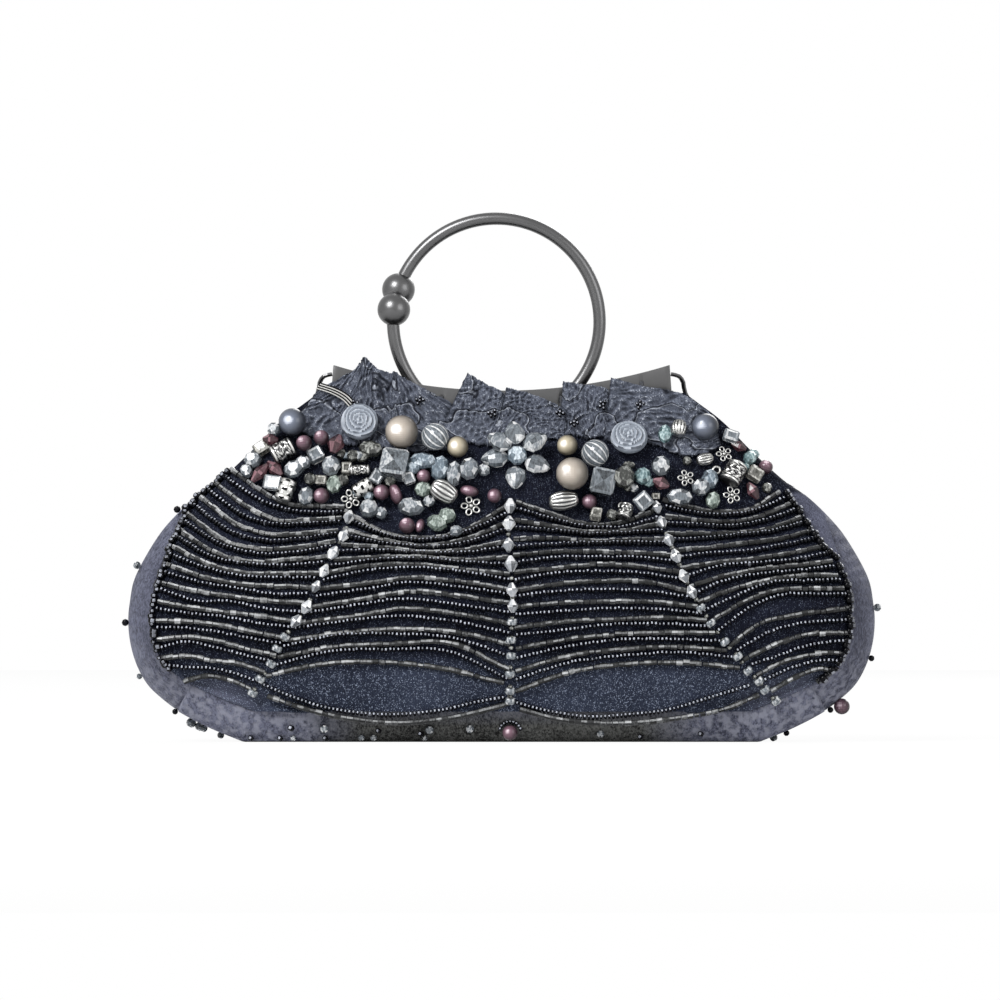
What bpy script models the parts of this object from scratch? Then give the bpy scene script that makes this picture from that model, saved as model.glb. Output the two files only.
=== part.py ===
"""A beaded evening clutch: a soft bag in a two-plate frame with a split ring handle.

Metres, +Z up, the front towards -Y. The origin is on the resting plane, under the middle of the base.
Three groups of pieces move: the bag, and the front and rear halves of the frame with the fabric sewn to
them. Both halves turn about one line, through the two rivets at the shoulders.
"""

import functools
import math

import bmesh
import bpy
import numpy as np
from mathutils import Matrix, Vector

# Overall sizes
HALF_WIDTH = 0.1398
BAG_HEIGHT = 0.141
HINGE_HEIGHT_SHARE = 0.6383
HINGE_HEIGHT = HINGE_HEIGHT_SHARE * BAG_HEIGHT
OPEN_ANGLE = math.radians(25)
ANGLE_MARGIN = math.radians(3)
GAP = 0.0003
OVERRUN = 0.002

# Outline of one half of the bag, seen from the front: half-width and height shares, base to frame
OUTLINE_SHARES = (
    (0.690, 0.000),
    (0.783, 0.038),
    (0.863, 0.080),
    (0.911, 0.115),
    (0.949, 0.152),
    (0.977, 0.202),
    (0.994, 0.259),
    (1.000, 0.316),
    (0.996, 0.369),
    (0.980, 0.440),
    (0.923, 0.541),
    (0.870, 0.604),
    (0.814, 0.655),
    (0.754, 0.695),
    (0.672, 0.768),
    (0.590, 0.850),
    (0.524, 0.900),
    (0.476, 0.935),
)

# Depth of the bag: half-depth at the seams and the extra bulge in the middle, as shares up the height
SEAM_DEPTH = 0.030
BULGE = 0.017
SEAM_DEPTH_SHARES = (
    (0.00, 1.00),
    (0.32, 1.00),
    (0.43, 0.90),
    (0.50, 0.73),
    (0.55, 0.50),
    (0.60, 0.28),
    (0.64, 0.20),
    (0.80, 0.25),
    (0.85, 0.275),
    (1.00, 0.275),
)
BULGE_SHARES = (
    (0.088, 0.15),
    (0.18, 0.36),
    (0.32, 0.53),
    (0.43, 0.65),
    (0.51, 0.80),
    (0.57, 0.90),
    (0.64, 1.00),
    (0.71, 0.92),
    (0.78, 0.52),
    (0.83, 0.16),
    (0.87, 0.02),
    (1.00, 0.00),
)
BULGE_ROUND_SHARE = 0.5

# Room that the fabric keeps for the plates inside it, as shares of the plates' own depth up the height
MOUTH_CLEARANCE = 0.0004
MOUTH_DEPTH_SHARES = (
    (0.00, 0.00),
    (0.72, 0.42),
    (0.80, 0.84),
    (0.85, 0.99),
    (0.90, 1.00),
    (1.00, 1.00),
)

# How far the panel seams lie inside the outline, up the height
SEAM_INSET = 0.0124
SEAM_INSET_SHARES = (
    (0.00, 1.00),
    (0.06, 0.95),
    (0.12, 0.87),
    (0.20, 0.79),
    (0.32, 0.76),
    (0.43, 0.68),
    (0.54, 0.45),
    (0.60, 0.15),
    (0.64, 0.03),
    (1.00, 0.00),
)

# Fabric
FABRIC = 0.001
LINING = 0.0006
LINING_INSET = 0.0020
TONGUE_HALF_WIDTH = 0.002
TONGUE_RISE = 0.0025
YOKE_LIFT = 0.0015
YOKE_LAP = 0.003
BASE_FLAT_SHARE = 0.70
SIDE_FLAT_SHARE = 0.25
YOKE_LINING_INSET = 0.0024
PANEL_COLUMNS = 16
PANEL_ROWS = 7
YOKE_ROWS = 5
GUSSET_COLUMNS = 38
GUSSET_STATION_SHARES = (1.0, 0.88, 0.71, 0.36, 0.0, -0.36, -0.71, -0.88, -1.0)
GUSSET_ROLL = 1.8
LINING_SIDES = 20
LINING_ROWS = 8
POUCH_FOOT_SHARE = 0.25
POUCH_FLOOR_SHARE = 0.3
POUCH_SQUARE_SHARE = 0.75
POUCH_RIM_SHARE = 0.01

# Base board: how far its ends and long edges stop short of the gusset's flat base
BOARD_END_CLEARANCE = 0.0085
BOARD_EDGE_CLEARANCE = 0.0011
BOARD_THICKNESS = 0.0016

# Frame plates: their ends stop short of the mouth's corners, where the wires turn down
PLATE_END_CLEARANCE = 0.00355
PLATE_HEIGHT = 0.0135
PLATE_THICKNESS = 0.0015
PLATE_SAG = 0.0096
PLATE_FLARE = 0.001
SLOT_DROP = 0.0047
SLOT_REACH_SHARE = 0.8333
SLOT_RADIUS = 0.00075
SLOT_STRETCH = 1.7
SLOT_COUNT = 8

# Ring handle and its clasp balls. The ring's foot sits between the plates, below their top edge
RING_RADIUS = 0.0387
RING_X = -0.0019
RING_SEAT_DROP = 0.0128
RING_TUBE = 0.00235
BALL_RADIUS = 0.00615
CLASP_GAP = 0.0003
FRONT_BALL_ANGLE = math.radians(173.4)
REAR_BALL_ANGLE = math.radians(161.8)
FRONT_ARC_END = math.radians(250)
REAR_ARC_END = math.radians(-70)
RING_STEP = math.radians(9)

# Hinge wires and rivets
WIRE_RADIUS = 0.0008
WIRE_DEPTH = 0.0030
RIVET_RADIUS = 0.00105
RIVET_HEAD_RADIUS = 0.0022
RIVET_HEAD = 0.0009
EYE_RADIUS = 0.0026
EYE_WIDTH = 0.0016
RIVET_CLEARANCE = 0.0003
WIRE_START_DROP = 0.0034

# Beading
ROW_HEIGHT = 0.0018
ROW_HALF_WIDTH_SHARE = 0.30
ROW_BACKING = 0.0006
ROW_WAVE = 0.0012
FIELD_COLUMNS = 8
FOLD_FIELD_COLUMNS = 20
RIB_BEAD_RADIUS = 0.0024
RIB_CLEARANCE = 0.001
RIB_BEADS = 9
BORDER_BEAD_RADIUS = 0.0015
BORDER_BEADS = 15
STRING_BEAD_RADIUS = 0.0013
STRING_BEADS = 17
BASE_PEARL_RADIUS = 0.0029
WAIST_SHARE = 0.45
LEFT_RIB_SHARES = ((0.106, -0.680), (0.284, -0.572), (0.426, -0.486), (0.624, -0.408))
MIDDLE_RIB_SHARES = ((0.106, 0.023), (0.624, 0.023))
RIGHT_RIB_SHARES = ((0.106, 0.737), (0.284, 0.583), (0.426, 0.486), (0.624, 0.415))
BORDER_SHARE = 0.968
FIELD_EDGE_SHARE = 0.93
SCALLOP_DROP_SHARE = 0.060
ARCH_RISE_SHARE = 0.110
FIELD_FOOT_SHARE = 0.145
BORDER_TOP_SHARE = 0.49

# Ruffle: each tab's left and right edges and the heights of its top edge, as shares
RIBBON_THICKNESS = 0.0008
RUFFLE_FOOT_SHARE = 0.815
PLEAT_DEPTH = 0.0020
RUFFLE_PLEATS = 2.5
RUFFLE_TAB_SHARES = {
    "ruffle_far_left": ((-0.519, -0.360), (0.900, 0.985, 1.016, 1.000)),
    "ruffle_left": ((-0.354, -0.186), (0.990, 0.975, 0.958, 0.946)),
    "ruffle_middle": ((-0.165, 0.004), (0.925, 0.970, 0.955, 0.946)),
    "ruffle_middle_right": ((0.010, 0.157), (0.939, 0.930, 0.915, 0.900)),
    "ruffle_flat_tab": ((0.165, 0.274), (0.945, 0.949, 0.947, 0.940)),
    "ruffle_right": ((0.281, 0.505), (0.950, 0.960, 0.925, 0.890)),
}

# Large beads: places as shares of the half-width and the height, then sizes as shares of the smaller
# of the two, so that the cluster keeps clear of itself. A rose's last number is how high it sits, as a
# share of its radius: the right one lies half beside the ribbon, so it sits lower
BEAD_SPAN = min(HALF_WIDTH, BAG_HEIGHT)
PEARL_SHARES = {
    "champagne_pearl_left": (-0.267, 0.822, 0.0443),
    "champagne_pearl_right": (0.189, 0.711, 0.0436),
    "gold_pearl_left": (-0.117, 0.782, 0.0286),
    "gold_pearl_right": (0.176, 0.786, 0.0279),
    "blue_pearl_left": (-0.560, 0.848, 0.0372),
    "blue_pearl_right": (0.545, 0.835, 0.0365),
    "striped_crystal_left": (-0.178, 0.809, 0.0372),
    "striped_crystal_right": (0.250, 0.765, 0.0372),
}
ROSE_SHARES = {
    "glass_rose_left": (-0.380, 0.848, 0.0508, 0.50),
    "glass_rose_right": (0.341, 0.805, 0.0501, 0.43),
}
ROSE_DEPTH_SHARE = 0.5
SQUARE_CRYSTAL_SHARES = {
    "square_crystal_left": (-0.286, 0.735, 0.0358),
    "square_crystal_right": (0.271, 0.690, 0.0329),
}
CRYSTAL_HEIGHT_SHARE = 1.10
CRYSTAL_DEPTH_SHARE = 0.7
BARREL_SHARES = {
    "scroll_barrel_left": (-0.585, 0.772, 0.0258, 0.0658),
    "scroll_barrel_right": (0.621, 0.712, 0.0272, 0.0644),
    "fluted_oval_left": (-0.154, 0.664, 0.0293, 0.0751),
    "fluted_oval_right": (0.166, 0.640, 0.0265, 0.0787),
}
BARREL_PROFILE_SHARES = (
    (0.55, 0.50),
    (0.72, 0.40),
    (0.90, 0.22),
    (1.00, 0.00),
    (0.90, -0.22),
    (0.72, -0.40),
    (0.55, -0.50),
)
FLOWER_PLACE_SHARES = (0.0415, 0.761)
FLOWER_CENTRE_SHARE = 0.0293
PETAL_LENGTH_SHARE = 0.0751
PETAL_RADIUS_SHARE = 0.0250
PETAL_STATION_SHARES = ((0, 0.25), (0.45, 1.0), (1.0, 0.15))
PETAL_ROOT_SHARE = 0.6
PETAL_ANGLES = (93, 25, -37, -97, -142, 172)


def material(name, colour, roughness, metallic=0.0):
    made = bpy.data.materials.new(name)
    made.use_nodes = True
    shader = made.node_tree.nodes["Principled BSDF"]
    shader.inputs["Base Color"].default_value = (*colour, 1)
    shader.inputs["Roughness"].default_value = roughness
    shader.inputs["Metallic"].default_value = metallic
    made.diffuse_color = (*colour, 1)
    return made


def curve_through(points, steps=8):
    """A smooth open curve through the points, as an array of places along it."""
    given = np.array(points, float)
    ends = np.vstack([2 * given[0] - given[1], given, 2 * given[-1] - given[-2]])
    places = []
    for start in range(len(given) - 1):
        before, here, there, after = ends[start : start + 4]
        for step in range(steps):
            t = step / steps
            places.append(
                0.5
                * (
                    2 * here
                    + (there - before) * t
                    + (2 * before - 5 * here + 4 * there - after) * t**2
                    + (3 * here - before - 3 * there + after) * t**3
                )
            )
    places.append(given[-1])
    return np.array(places)


@functools.cache
def smoothed(table):
    return curve_through(table)


@functools.cache
def share_at(table, height):
    """A share that changes smoothly up the bag's height."""
    curve = smoothed(table)
    return float(np.interp(height / BAG_HEIGHT, curve[:, 0], curve[:, 1]))


OUTLINE = curve_through([(x * HALF_WIDTH, z * BAG_HEIGHT) for x, z in OUTLINE_SHARES])
OUTLINE_SLOPES = np.gradient(OUTLINE, axis=0)
OUTLINE_NORMALS = np.column_stack([OUTLINE_SLOPES[:, 1], -OUTLINE_SLOPES[:, 0]])
OUTLINE_NORMALS /= np.linalg.norm(OUTLINE_NORMALS, axis=1)[:, None]
OUTLINE_INSETS = np.array([SEAM_INSET * share_at(SEAM_INSET_SHARES, z) for _, z in OUTLINE])
SEAM = OUTLINE - OUTLINE_NORMALS * OUTLINE_INSETS[:, None]
SEAM_FOOT = SEAM[0, 1]

PLATE_HALF_LENGTH = OUTLINE[-1, 0] - PLATE_END_CLEARANCE
PLATE_INNER = 2 * RING_TUBE + 2 * GAP
PLATE_FACE = PLATE_INNER + PLATE_THICKNESS
RING_Z = BAG_HEIGHT - PLATE_SAG - RING_SEAT_DROP + RING_RADIUS
BALL_SPREAD = RING_RADIUS * math.sin((FRONT_BALL_ANGLE - REAR_BALL_ANGLE) / 2)
BALL_OFFSET = math.sqrt((BALL_RADIUS + CLASP_GAP / 2) ** 2 - BALL_SPREAD**2)
RIB_MARGIN = RIB_BEAD_RADIUS + RIB_CLEARANCE


@functools.cache
def outline_width(height):
    return float(np.interp(height, OUTLINE[:, 1], OUTLINE[:, 0]))


@functools.cache
def seam_width(height):
    return float(np.interp(height, SEAM[:, 1], SEAM[:, 0]))


def seam_depth(height):
    mouth_depth = PLATE_FACE + FABRIC + MOUTH_CLEARANCE
    room = mouth_depth * share_at(MOUTH_DEPTH_SHARES, height)
    return max(SEAM_DEPTH * share_at(SEAM_DEPTH_SHARES, height), room)


@functools.cache
def panel_depth(x, z):
    """How far the front or rear fabric stands from the middle plane, at its outer face."""
    height = max(z, SEAM_FOOT)
    across = min(abs(x) / seam_width(height), 1.0)
    middle = (1 - across**2) ** BULGE_ROUND_SHARE
    return seam_depth(height) + BULGE * share_at(BULGE_SHARES, height) * middle


def panel_normal(x, z):
    """The outward direction of the front fabric."""
    reach = 2 * FABRIC
    slope_x = (panel_depth(x + reach, z) - panel_depth(x - reach, z)) / (2 * reach)
    slope_z = (panel_depth(x, z + reach) - panel_depth(x, z - reach)) / (2 * reach)
    return Vector((-slope_x, -1, -slope_z)).normalized()


def frame_edge(x, drop):
    """The height of the plates' sagging top edge, or of a line this far below it."""
    reach = min(abs(x) / PLATE_HALF_LENGTH, 1.0)
    return BAG_HEIGHT - PLATE_SAG * (1 - reach**2) - drop


def fold_height(x, z):
    """The height at which the bag's own panels end, so that the halves have room to open."""
    return HINGE_HEIGHT - panel_depth(x, z) * math.tan(OPEN_ANGLE + ANGLE_MARGIN)


def settled(across, rule, start):
    """The height on one column of a panel where the rule gives back the height it was given."""
    height = start
    for _ in range(20):
        height += 0.5 * (rule(across * seam_width(height), height) - height)
    return height


def keep(thing, material_made):
    thing.data.materials.clear()
    thing.data.materials.append(material_made)
    PARTS.objects.link(thing)
    return thing


def smooth(thing, angle=40):
    thing.data.shade_smooth()
    thing.data.set_sharp_from_angle(angle=math.radians(angle))
    return thing


def grid_piece(name, material_made, columns, rows, place, thickness):
    """A sheet whose place rule takes shares from -1 to 1 across and from 0 to 1 up, thickened inwards."""
    grid = bmesh.new()
    bmesh.ops.create_grid(grid, x_segments=columns, y_segments=rows, size=1)
    for vertex in grid.verts:
        vertex.co = place(vertex.co.x, (vertex.co.y + 1) / 2)
    mesh = bpy.data.meshes.new(name)
    grid.to_mesh(mesh)
    grid.free()
    piece = keep(bpy.data.objects.new(name, mesh), material_made)
    wall = piece.modifiers.new("wall", "SOLIDIFY")
    wall.thickness = thickness
    wall.offset = -1
    return smooth(piece)


def panel_piece(name, material_made, side, low, high, rows, inset=0.0, reach=1.0, thickness=FABRIC):
    """A stretch of front (side -1) or rear (side 1) fabric between two height rules."""

    def place(across, up):
        across *= -side * reach
        bottom = settled(across, low, HINGE_HEIGHT)
        top = settled(across, high, HINGE_HEIGHT)
        z = bottom + (top - bottom) * up
        x = across * (seam_width(z) - 2 * GAP)
        return Vector((x, side * (panel_depth(x, z) - inset), z))

    return grid_piece(name, material_made, PANEL_COLUMNS, rows, place, thickness)


def evenly(line, count):
    """The same line as a number of evenly spaced places, in two or three dimensions."""
    steps = np.linalg.norm(np.diff(line, axis=0), axis=1)
    reach = np.concatenate([[0], np.cumsum(steps)])
    along = np.linspace(0, reach[-1], count)
    return np.column_stack([np.interp(along, reach, column) for column in np.transpose(line)])


def gusset_path():
    """Middle line of the gusset, from one shoulder tongue round the base to the other."""
    height = HINGE_HEIGHT + TONGUE_RISE
    side = OUTLINE[OUTLINE[:, 1] < height]
    right = np.vstack([side, [outline_width(height), height]])
    left = right[::-1] * (-1, 1)
    return evenly(np.vstack([left, right]), GUSSET_COLUMNS + 1)


def gusset_half_width(height):
    free = (HINGE_HEIGHT - height) / math.tan(OPEN_ANGLE + ANGLE_MARGIN) - GAP
    return max(min(seam_depth(height) - 2 * GAP, free), TONGUE_HALF_WIDTH)


def make_gusset(material_made):
    path = gusset_path()
    slopes = np.gradient(path, axis=0)
    normals = np.column_stack([slopes[:, 1], -slopes[:, 0]])
    normals /= np.linalg.norm(normals, axis=1)[:, None]

    def place(along, up):
        index = round((along + 1) / 2 * GUSSET_COLUMNS)
        x, z = path[index]
        across = GUSSET_STATION_SHARES[round(up * (len(GUSSET_STATION_SHARES) - 1))]
        flat = BASE_FLAT_SHARE if z < SEAM_FOOT else SIDE_FLAT_SHARE
        roll = max(abs(across) - flat, 0.0) / (1 - flat)
        fullness = gusset_half_width(z) / seam_depth(z)
        inset = SEAM_INSET * share_at(SEAM_INSET_SHARES, z) * roll**GUSSET_ROLL
        inset *= min(fullness, 1.0)
        return Vector(
            (x - normals[index][0] * inset, across * gusset_half_width(z), z - normals[index][1] * inset)
        )

    return grid_piece("gusset", material_made, GUSSET_COLUMNS, len(GUSSET_STATION_SHARES) - 1, place, FABRIC)


def make_lining_pouch(material_made):
    """A bowl with a flat bottom on the base board and a rim that dips at the front and rear."""
    floor_z = FABRIC + BOARD_THICKNESS + 3 * GAP
    rim_top = HINGE_HEIGHT - 3 * EYE_RADIUS
    rim_dip = HINGE_HEIGHT - fold_height(0, HINGE_HEIGHT) - EYE_RADIUS
    rim_x = seam_width(rim_top)
    bowl = bmesh.new()
    bmesh.ops.create_uvsphere(bowl, u_segments=LINING_SIDES, v_segments=LINING_ROWS * 2, radius=1)
    upper = [v for v in bowl.verts if v.co.z > POUCH_RIM_SHARE]
    bmesh.ops.delete(bowl, geom=upper, context="VERTS")
    for vertex in bowl.verts:
        level = 1 - math.acos(min(max(-vertex.co.z, -1), 1)) / (math.pi / 2)
        up = max(1 - level - POUCH_FLOOR_SHARE, 0) / (1 - POUCH_FLOOR_SHARE)
        turn = math.atan2(vertex.co.y, vertex.co.x)
        spread = min((1 - level) / POUCH_FLOOR_SHARE, 1.0)
        cosine, sine = math.cos(turn), math.sin(turn)
        across = math.copysign(abs(cosine) ** POUCH_SQUARE_SHARE, cosine)
        deep = math.copysign(abs(sine) ** POUCH_SQUARE_SHARE, sine)
        rim = rim_top - rim_dip * deep**2
        z = floor_z + (rim - floor_z) * up
        width = min(seam_width(max(z, SEAM_FOOT)), rim_x + (rim - z)) - 2 * LINING_INSET
        round_foot = 1 - POUCH_FOOT_SHARE * (1 - up) ** 6
        depth = panel_depth(0, z) - LINING_INSET
        vertex.co = Vector((across * width * spread * round_foot, deep * depth * spread * round_foot, z))
    mesh = bpy.data.meshes.new("lining_pouch")
    bowl.to_mesh(mesh)
    bowl.free()
    pouch = keep(bpy.data.objects.new("lining_pouch", mesh), material_made)
    wall = pouch.modifiers.new("wall", "SOLIDIFY")
    wall.thickness = LINING
    wall.offset = -1
    return smooth(pouch)


def make_board(material_made):
    """The stiffener that lies on the gusset's flat base, inside the bag."""
    length = 2 * (outline_width(0) - BOARD_END_CLEARANCE)
    width = 2 * (BASE_FLAT_SHARE * gusset_half_width(0) - BOARD_EDGE_CLEARANCE)
    bpy.ops.mesh.primitive_cube_add(size=1)
    board = bpy.context.object
    board.name = "base_board"
    board.data.transform(Matrix.Diagonal((length, width, BOARD_THICKNESS, 1)))
    board.location.z = FABRIC + GAP + BOARD_THICKNESS / 2
    return rehome(board, material_made)


def rehome(thing, material_made):
    """Moves a new primitive from the scene's own collection to the object's."""
    for home in list(thing.users_collection):
        home.objects.unlink(thing)
    return keep(thing, material_made)


def make_plate(name, material_made, side, inner_face):
    """One bow-shaped plate, with a row of slots for the sewing thread."""

    def place(across, up):
        across *= -side
        x = across * (PLATE_HALF_LENGTH + PLATE_FLARE * (1 - up))
        z = frame_edge(across * PLATE_HALF_LENGTH, PLATE_HEIGHT * (1 - up))
        return Vector((x, side * (inner_face + PLATE_THICKNESS), z))

    plate = grid_piece(name, material_made, 14, 1, place, PLATE_THICKNESS)
    slots = bmesh.new()
    for share in np.linspace(-SLOT_REACH_SHARE, SLOT_REACH_SHARE, SLOT_COUNT):
        x = share * PLATE_HALF_LENGTH
        z = frame_edge(x, SLOT_DROP)
        turn = Matrix.Rotation(math.pi / 2, 4, "X")
        stretch = Matrix.Diagonal((1, 1, SLOT_STRETCH, 1))
        bmesh.ops.create_cone(
            slots,
            cap_ends=True,
            segments=6,
            radius1=SLOT_RADIUS,
            radius2=SLOT_RADIUS,
            depth=PLATE_THICKNESS + 2 * OVERRUN,
            matrix=Matrix.Translation((x, side * (inner_face + PLATE_THICKNESS / 2), z)) @ stretch @ turn,
        )
    mesh = bpy.data.meshes.new(name + "_slots")
    slots.to_mesh(mesh)
    slots.free()
    cutter = bpy.data.objects.new(name + "_slots", mesh)
    cutter.hide_render = True
    cutter.display_type = "WIRE"
    CUTTERS.objects.link(cutter)
    cut = plate.modifiers.new("slots", "BOOLEAN")
    cut.operation = "DIFFERENCE"
    cut.object = cutter
    return plate


def tube(name, points, radius, sizes=None, bevel_resolution=2):
    """A tube along the points. The sizes, where given, swell or narrow it at each point."""
    curve = bpy.data.curves.new(name, "CURVE")
    curve.dimensions = "3D"
    curve.bevel_depth = radius
    curve.bevel_resolution = bevel_resolution
    curve.use_fill_caps = True
    line = curve.splines.new("POLY")
    line.points.add(len(points) - 1)
    for number, point in enumerate(points):
        line.points[number].co = (*point, 1)
        line.points[number].radius = 1.0 if sizes is None else sizes[number]
    return bpy.data.objects.new(name, curve)


def as_mesh(thing):
    """A curve made into a closed mesh, its loose caps welded on."""
    bpy.context.scene.collection.objects.link(thing)
    graph = bpy.context.evaluated_depsgraph_get()
    mesh = bpy.data.meshes.new_from_object(thing.evaluated_get(graph))
    shape = bmesh.new()
    shape.from_mesh(mesh)
    bmesh.ops.remove_doubles(shape, verts=shape.verts, dist=GAP / 30)
    bmesh.ops.recalc_face_normals(shape, faces=shape.faces)
    shape.to_mesh(mesh)
    shape.free()
    name = thing.name
    place = thing.matrix_world.copy()
    bpy.data.objects.remove(thing)
    made = bpy.data.objects.new(name, mesh)
    made.matrix_world = place
    return made


def ring_point(angle, depth):
    return Vector((RING_X + RING_RADIUS * math.cos(angle), depth, RING_Z + RING_RADIUS * math.sin(angle)))


def make_arc(name, material_made, side, start, end, inner_face):
    """One part of the split ring. It leans out from the plate to the side of its clasp ball."""
    flat = inner_face - GAP - RING_TUBE
    count = max(round(abs(end - start) / RING_STEP), 4)
    points = []
    for number in range(count + 1):
        share = number / count
        lean = math.cos(min(2 * share, 1.0) * math.pi / 2) ** 2
        points.append(ring_point(start + (end - start) * share, side * (flat + (BALL_OFFSET - flat) * lean)))
    return keep(tube(name, points, RING_TUBE), material_made)


def make_ball(name, material_made, place, radius, stretch=(1, 1, 1), sides=10, rings=7):
    ball = bmesh.new()
    bmesh.ops.create_uvsphere(ball, u_segments=sides, v_segments=rings, radius=radius)
    mesh = bpy.data.meshes.new(name)
    ball.to_mesh(mesh)
    ball.free()
    mesh.transform(Matrix.Diagonal((*stretch, 1)))
    piece = keep(bpy.data.objects.new(name, mesh), material_made)
    piece.location = place
    return smooth(piece)


def turned(name, profile, steps=12):
    """A profile of (radius, height) points turned about Z, from the top down its outer side."""
    mesh = bpy.data.meshes.new(name)
    edges = [(number, number + 1) for number in range(len(profile) - 1)]
    mesh.from_pydata([(radius, 0, z) for radius, z in profile], edges, [])
    piece = bpy.data.objects.new(name, mesh)
    turn = piece.modifiers.new("turn", "SCREW")
    turn.steps = turn.render_steps = steps
    turn.axis = "Z"
    turn.use_merge_vertices = True
    turn.merge_threshold = GAP / 30
    return piece


def eye_place(side, right):
    """The middle of one half's wire eye on its rivet. The front half's eye is the inner one."""
    outer_end = outline_width(HINGE_HEIGHT + RIVET_HEAD_RADIUS) - 1.5 * FABRIC - GAP
    outer_eye = outer_end - RIVET_HEAD - GAP - EYE_WIDTH / 2
    inner_eye = outer_eye - EYE_WIDTH - GAP
    return right * (inner_eye if side < 0 else outer_eye)


def make_rivet(name, material_made, right):
    """A shouldered rivet along X, its two heads outside the two wire eyes."""
    outer = abs(eye_place(1, 1)) + EYE_WIDTH / 2 + GAP + RIVET_HEAD
    inner = abs(eye_place(-1, 1)) - EYE_WIDTH / 2 - GAP - RIVET_HEAD
    half = (outer - inner) / 2
    shoulder = half - RIVET_HEAD
    profile = (
        (0, half),
        (RIVET_HEAD_RADIUS, half),
        (RIVET_HEAD_RADIUS, shoulder),
        (RIVET_RADIUS, shoulder),
        (RIVET_RADIUS, -shoulder),
        (RIVET_HEAD_RADIUS, -shoulder),
        (RIVET_HEAD_RADIUS, -half),
        (0, -half),
    )
    rivet = keep(turned(name, profile), material_made)
    rivet.rotation_euler.y = math.pi / 2
    rivet.location = (right * (outer + inner) / 2, 0, HINGE_HEIGHT)
    return smooth(rivet)


def make_wire(name, material_made, side, right):
    """A hinge wire: out of the plate's end, down inside the shoulder seam and round the rivet."""
    eye_x = abs(eye_place(side, 1))
    end_x = PLATE_HALF_LENGTH + PLATE_FLARE * WIRE_START_DROP / PLATE_HEIGHT + GAP
    top = BAG_HEIGHT - WIRE_START_DROP
    bend = outline_width(BAG_HEIGHT * OUTLINE_SHARES[-1][1])
    route = [
        (end_x, top),
        (bend, top - WIRE_RADIUS),
        (bend + 2 * WIRE_RADIUS, top - 4 * WIRE_RADIUS),
        (bend + 3 * WIRE_RADIUS, top - 9 * WIRE_RADIUS),
    ]
    for share in (0.88, 0.80, 0.73):
        route.append((outline_width(share * BAG_HEIGHT) - 4 * FABRIC, share * BAG_HEIGHT))
    route.append((eye_x - EYE_RADIUS / 2, HINGE_HEIGHT + 2 * EYE_RADIUS))
    route.append((eye_x, HINGE_HEIGHT + EYE_RADIUS - WIRE_RADIUS / 2))
    plate_middle = PLATE_INNER + PLATE_THICKNESS / 2
    depths = [plate_middle, plate_middle, (plate_middle + WIRE_DEPTH) / 2]
    depths += [WIRE_DEPTH] * (len(route) - 5) + [WIRE_DEPTH / 2, 0.0]
    points = [(right * x, side * depth, z) for (x, z), depth in zip(route, depths)]
    points = [tuple(point) for point in curve_through(points, steps=2)]
    wire = as_mesh(tube(name, points, WIRE_RADIUS, bevel_resolution=1))
    bore = RIVET_RADIUS + RIVET_CLEARANCE
    half = EYE_WIDTH / 2
    washer = ((bore, half), (EYE_RADIUS, half), (EYE_RADIUS, -half), (bore, -half), (bore, half))
    eye = turned(name + "_eye", washer)
    eye.rotation_euler.y = math.pi / 2
    eye.location = (right * eye_x, 0, HINGE_HEIGHT)
    eye.hide_render = True
    eye.display_type = "WIRE"
    CUTTERS.objects.link(eye)
    join = wire.modifiers.new("eye", "BOOLEAN")
    join.operation = "UNION"
    join.object = eye
    drill_bit = ((0, EYE_RADIUS), (bore, EYE_RADIUS), (bore, -EYE_RADIUS), (0, -EYE_RADIUS))
    hole = turned(name + "_bore", drill_bit)
    hole.rotation_euler.y = math.pi / 2
    hole.location = eye.location
    hole.hide_render = True
    hole.display_type = "WIRE"
    CUTTERS.objects.link(hole)
    drill = wire.modifiers.new("bore", "BOOLEAN")
    drill.operation = "DIFFERENCE"
    drill.object = hole
    return keep(wire, material_made)


def rib_x(rib_shares, height):
    curve = smoothed(rib_shares)
    return HALF_WIDTH * float(np.interp(height / BAG_HEIGHT, curve[:, 0], curve[:, 1]))


def row_line(up, rows):
    """The height share and the raised share of one line of a ridged field: three lines make a row."""
    line = round(up * (3 * rows - 1))
    row, part = divmod(line, 3)
    spread = (0.5 - ROW_HALF_WIDTH_SHARE, 0.5, 0.5 + ROW_HALF_WIDTH_SHARE)[part]
    return row, (row + spread) / rows, 1.0 if part == 1 else 0.0


def make_field(name, material_made, edges, foot, top, rows, columns=FIELD_COLUMNS):
    """Sewn bead rows between two edges: one backing sheet with a raised ridge for each row."""
    left_edge, right_edge = edges

    def place(across, up):
        row, height_share, raised = row_line(up, rows)
        side_share = (across + 1) / 2
        arch = 1 - across**2
        low = foot(side_share)
        z = low
        for _ in range(12):
            x = left_edge(z) + (right_edge(z) - left_edge(z)) * side_share
            high = top(x, z)
            z = low + (high - low) * height_share
        z += ROW_WAVE * math.sin(math.pi * (1.3 * across + 0.9 * row)) * arch
        x = left_edge(z) + (right_edge(z) - left_edge(z)) * side_share
        lift = 2 * GAP + ROW_BACKING + ROW_HEIGHT * raised
        return Vector((x, -panel_depth(x, z), z)) + lift * panel_normal(x, z)

    return grid_piece(name, material_made, columns, 3 * rows - 1, place, ROW_BACKING)


def make_string(name, material_made, places, radius, beads):
    """A string of touching beads along a curve that lies on the fabric."""
    points = evenly(curve_through([tuple(place) for place in places]), 2 * beads + 1)
    sizes = [1.0 if number % 2 else WAIST_SHARE for number in range(len(points))]
    string = tube(name, points, radius, sizes, bevel_resolution=1)
    return keep(string, material_made)


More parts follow.
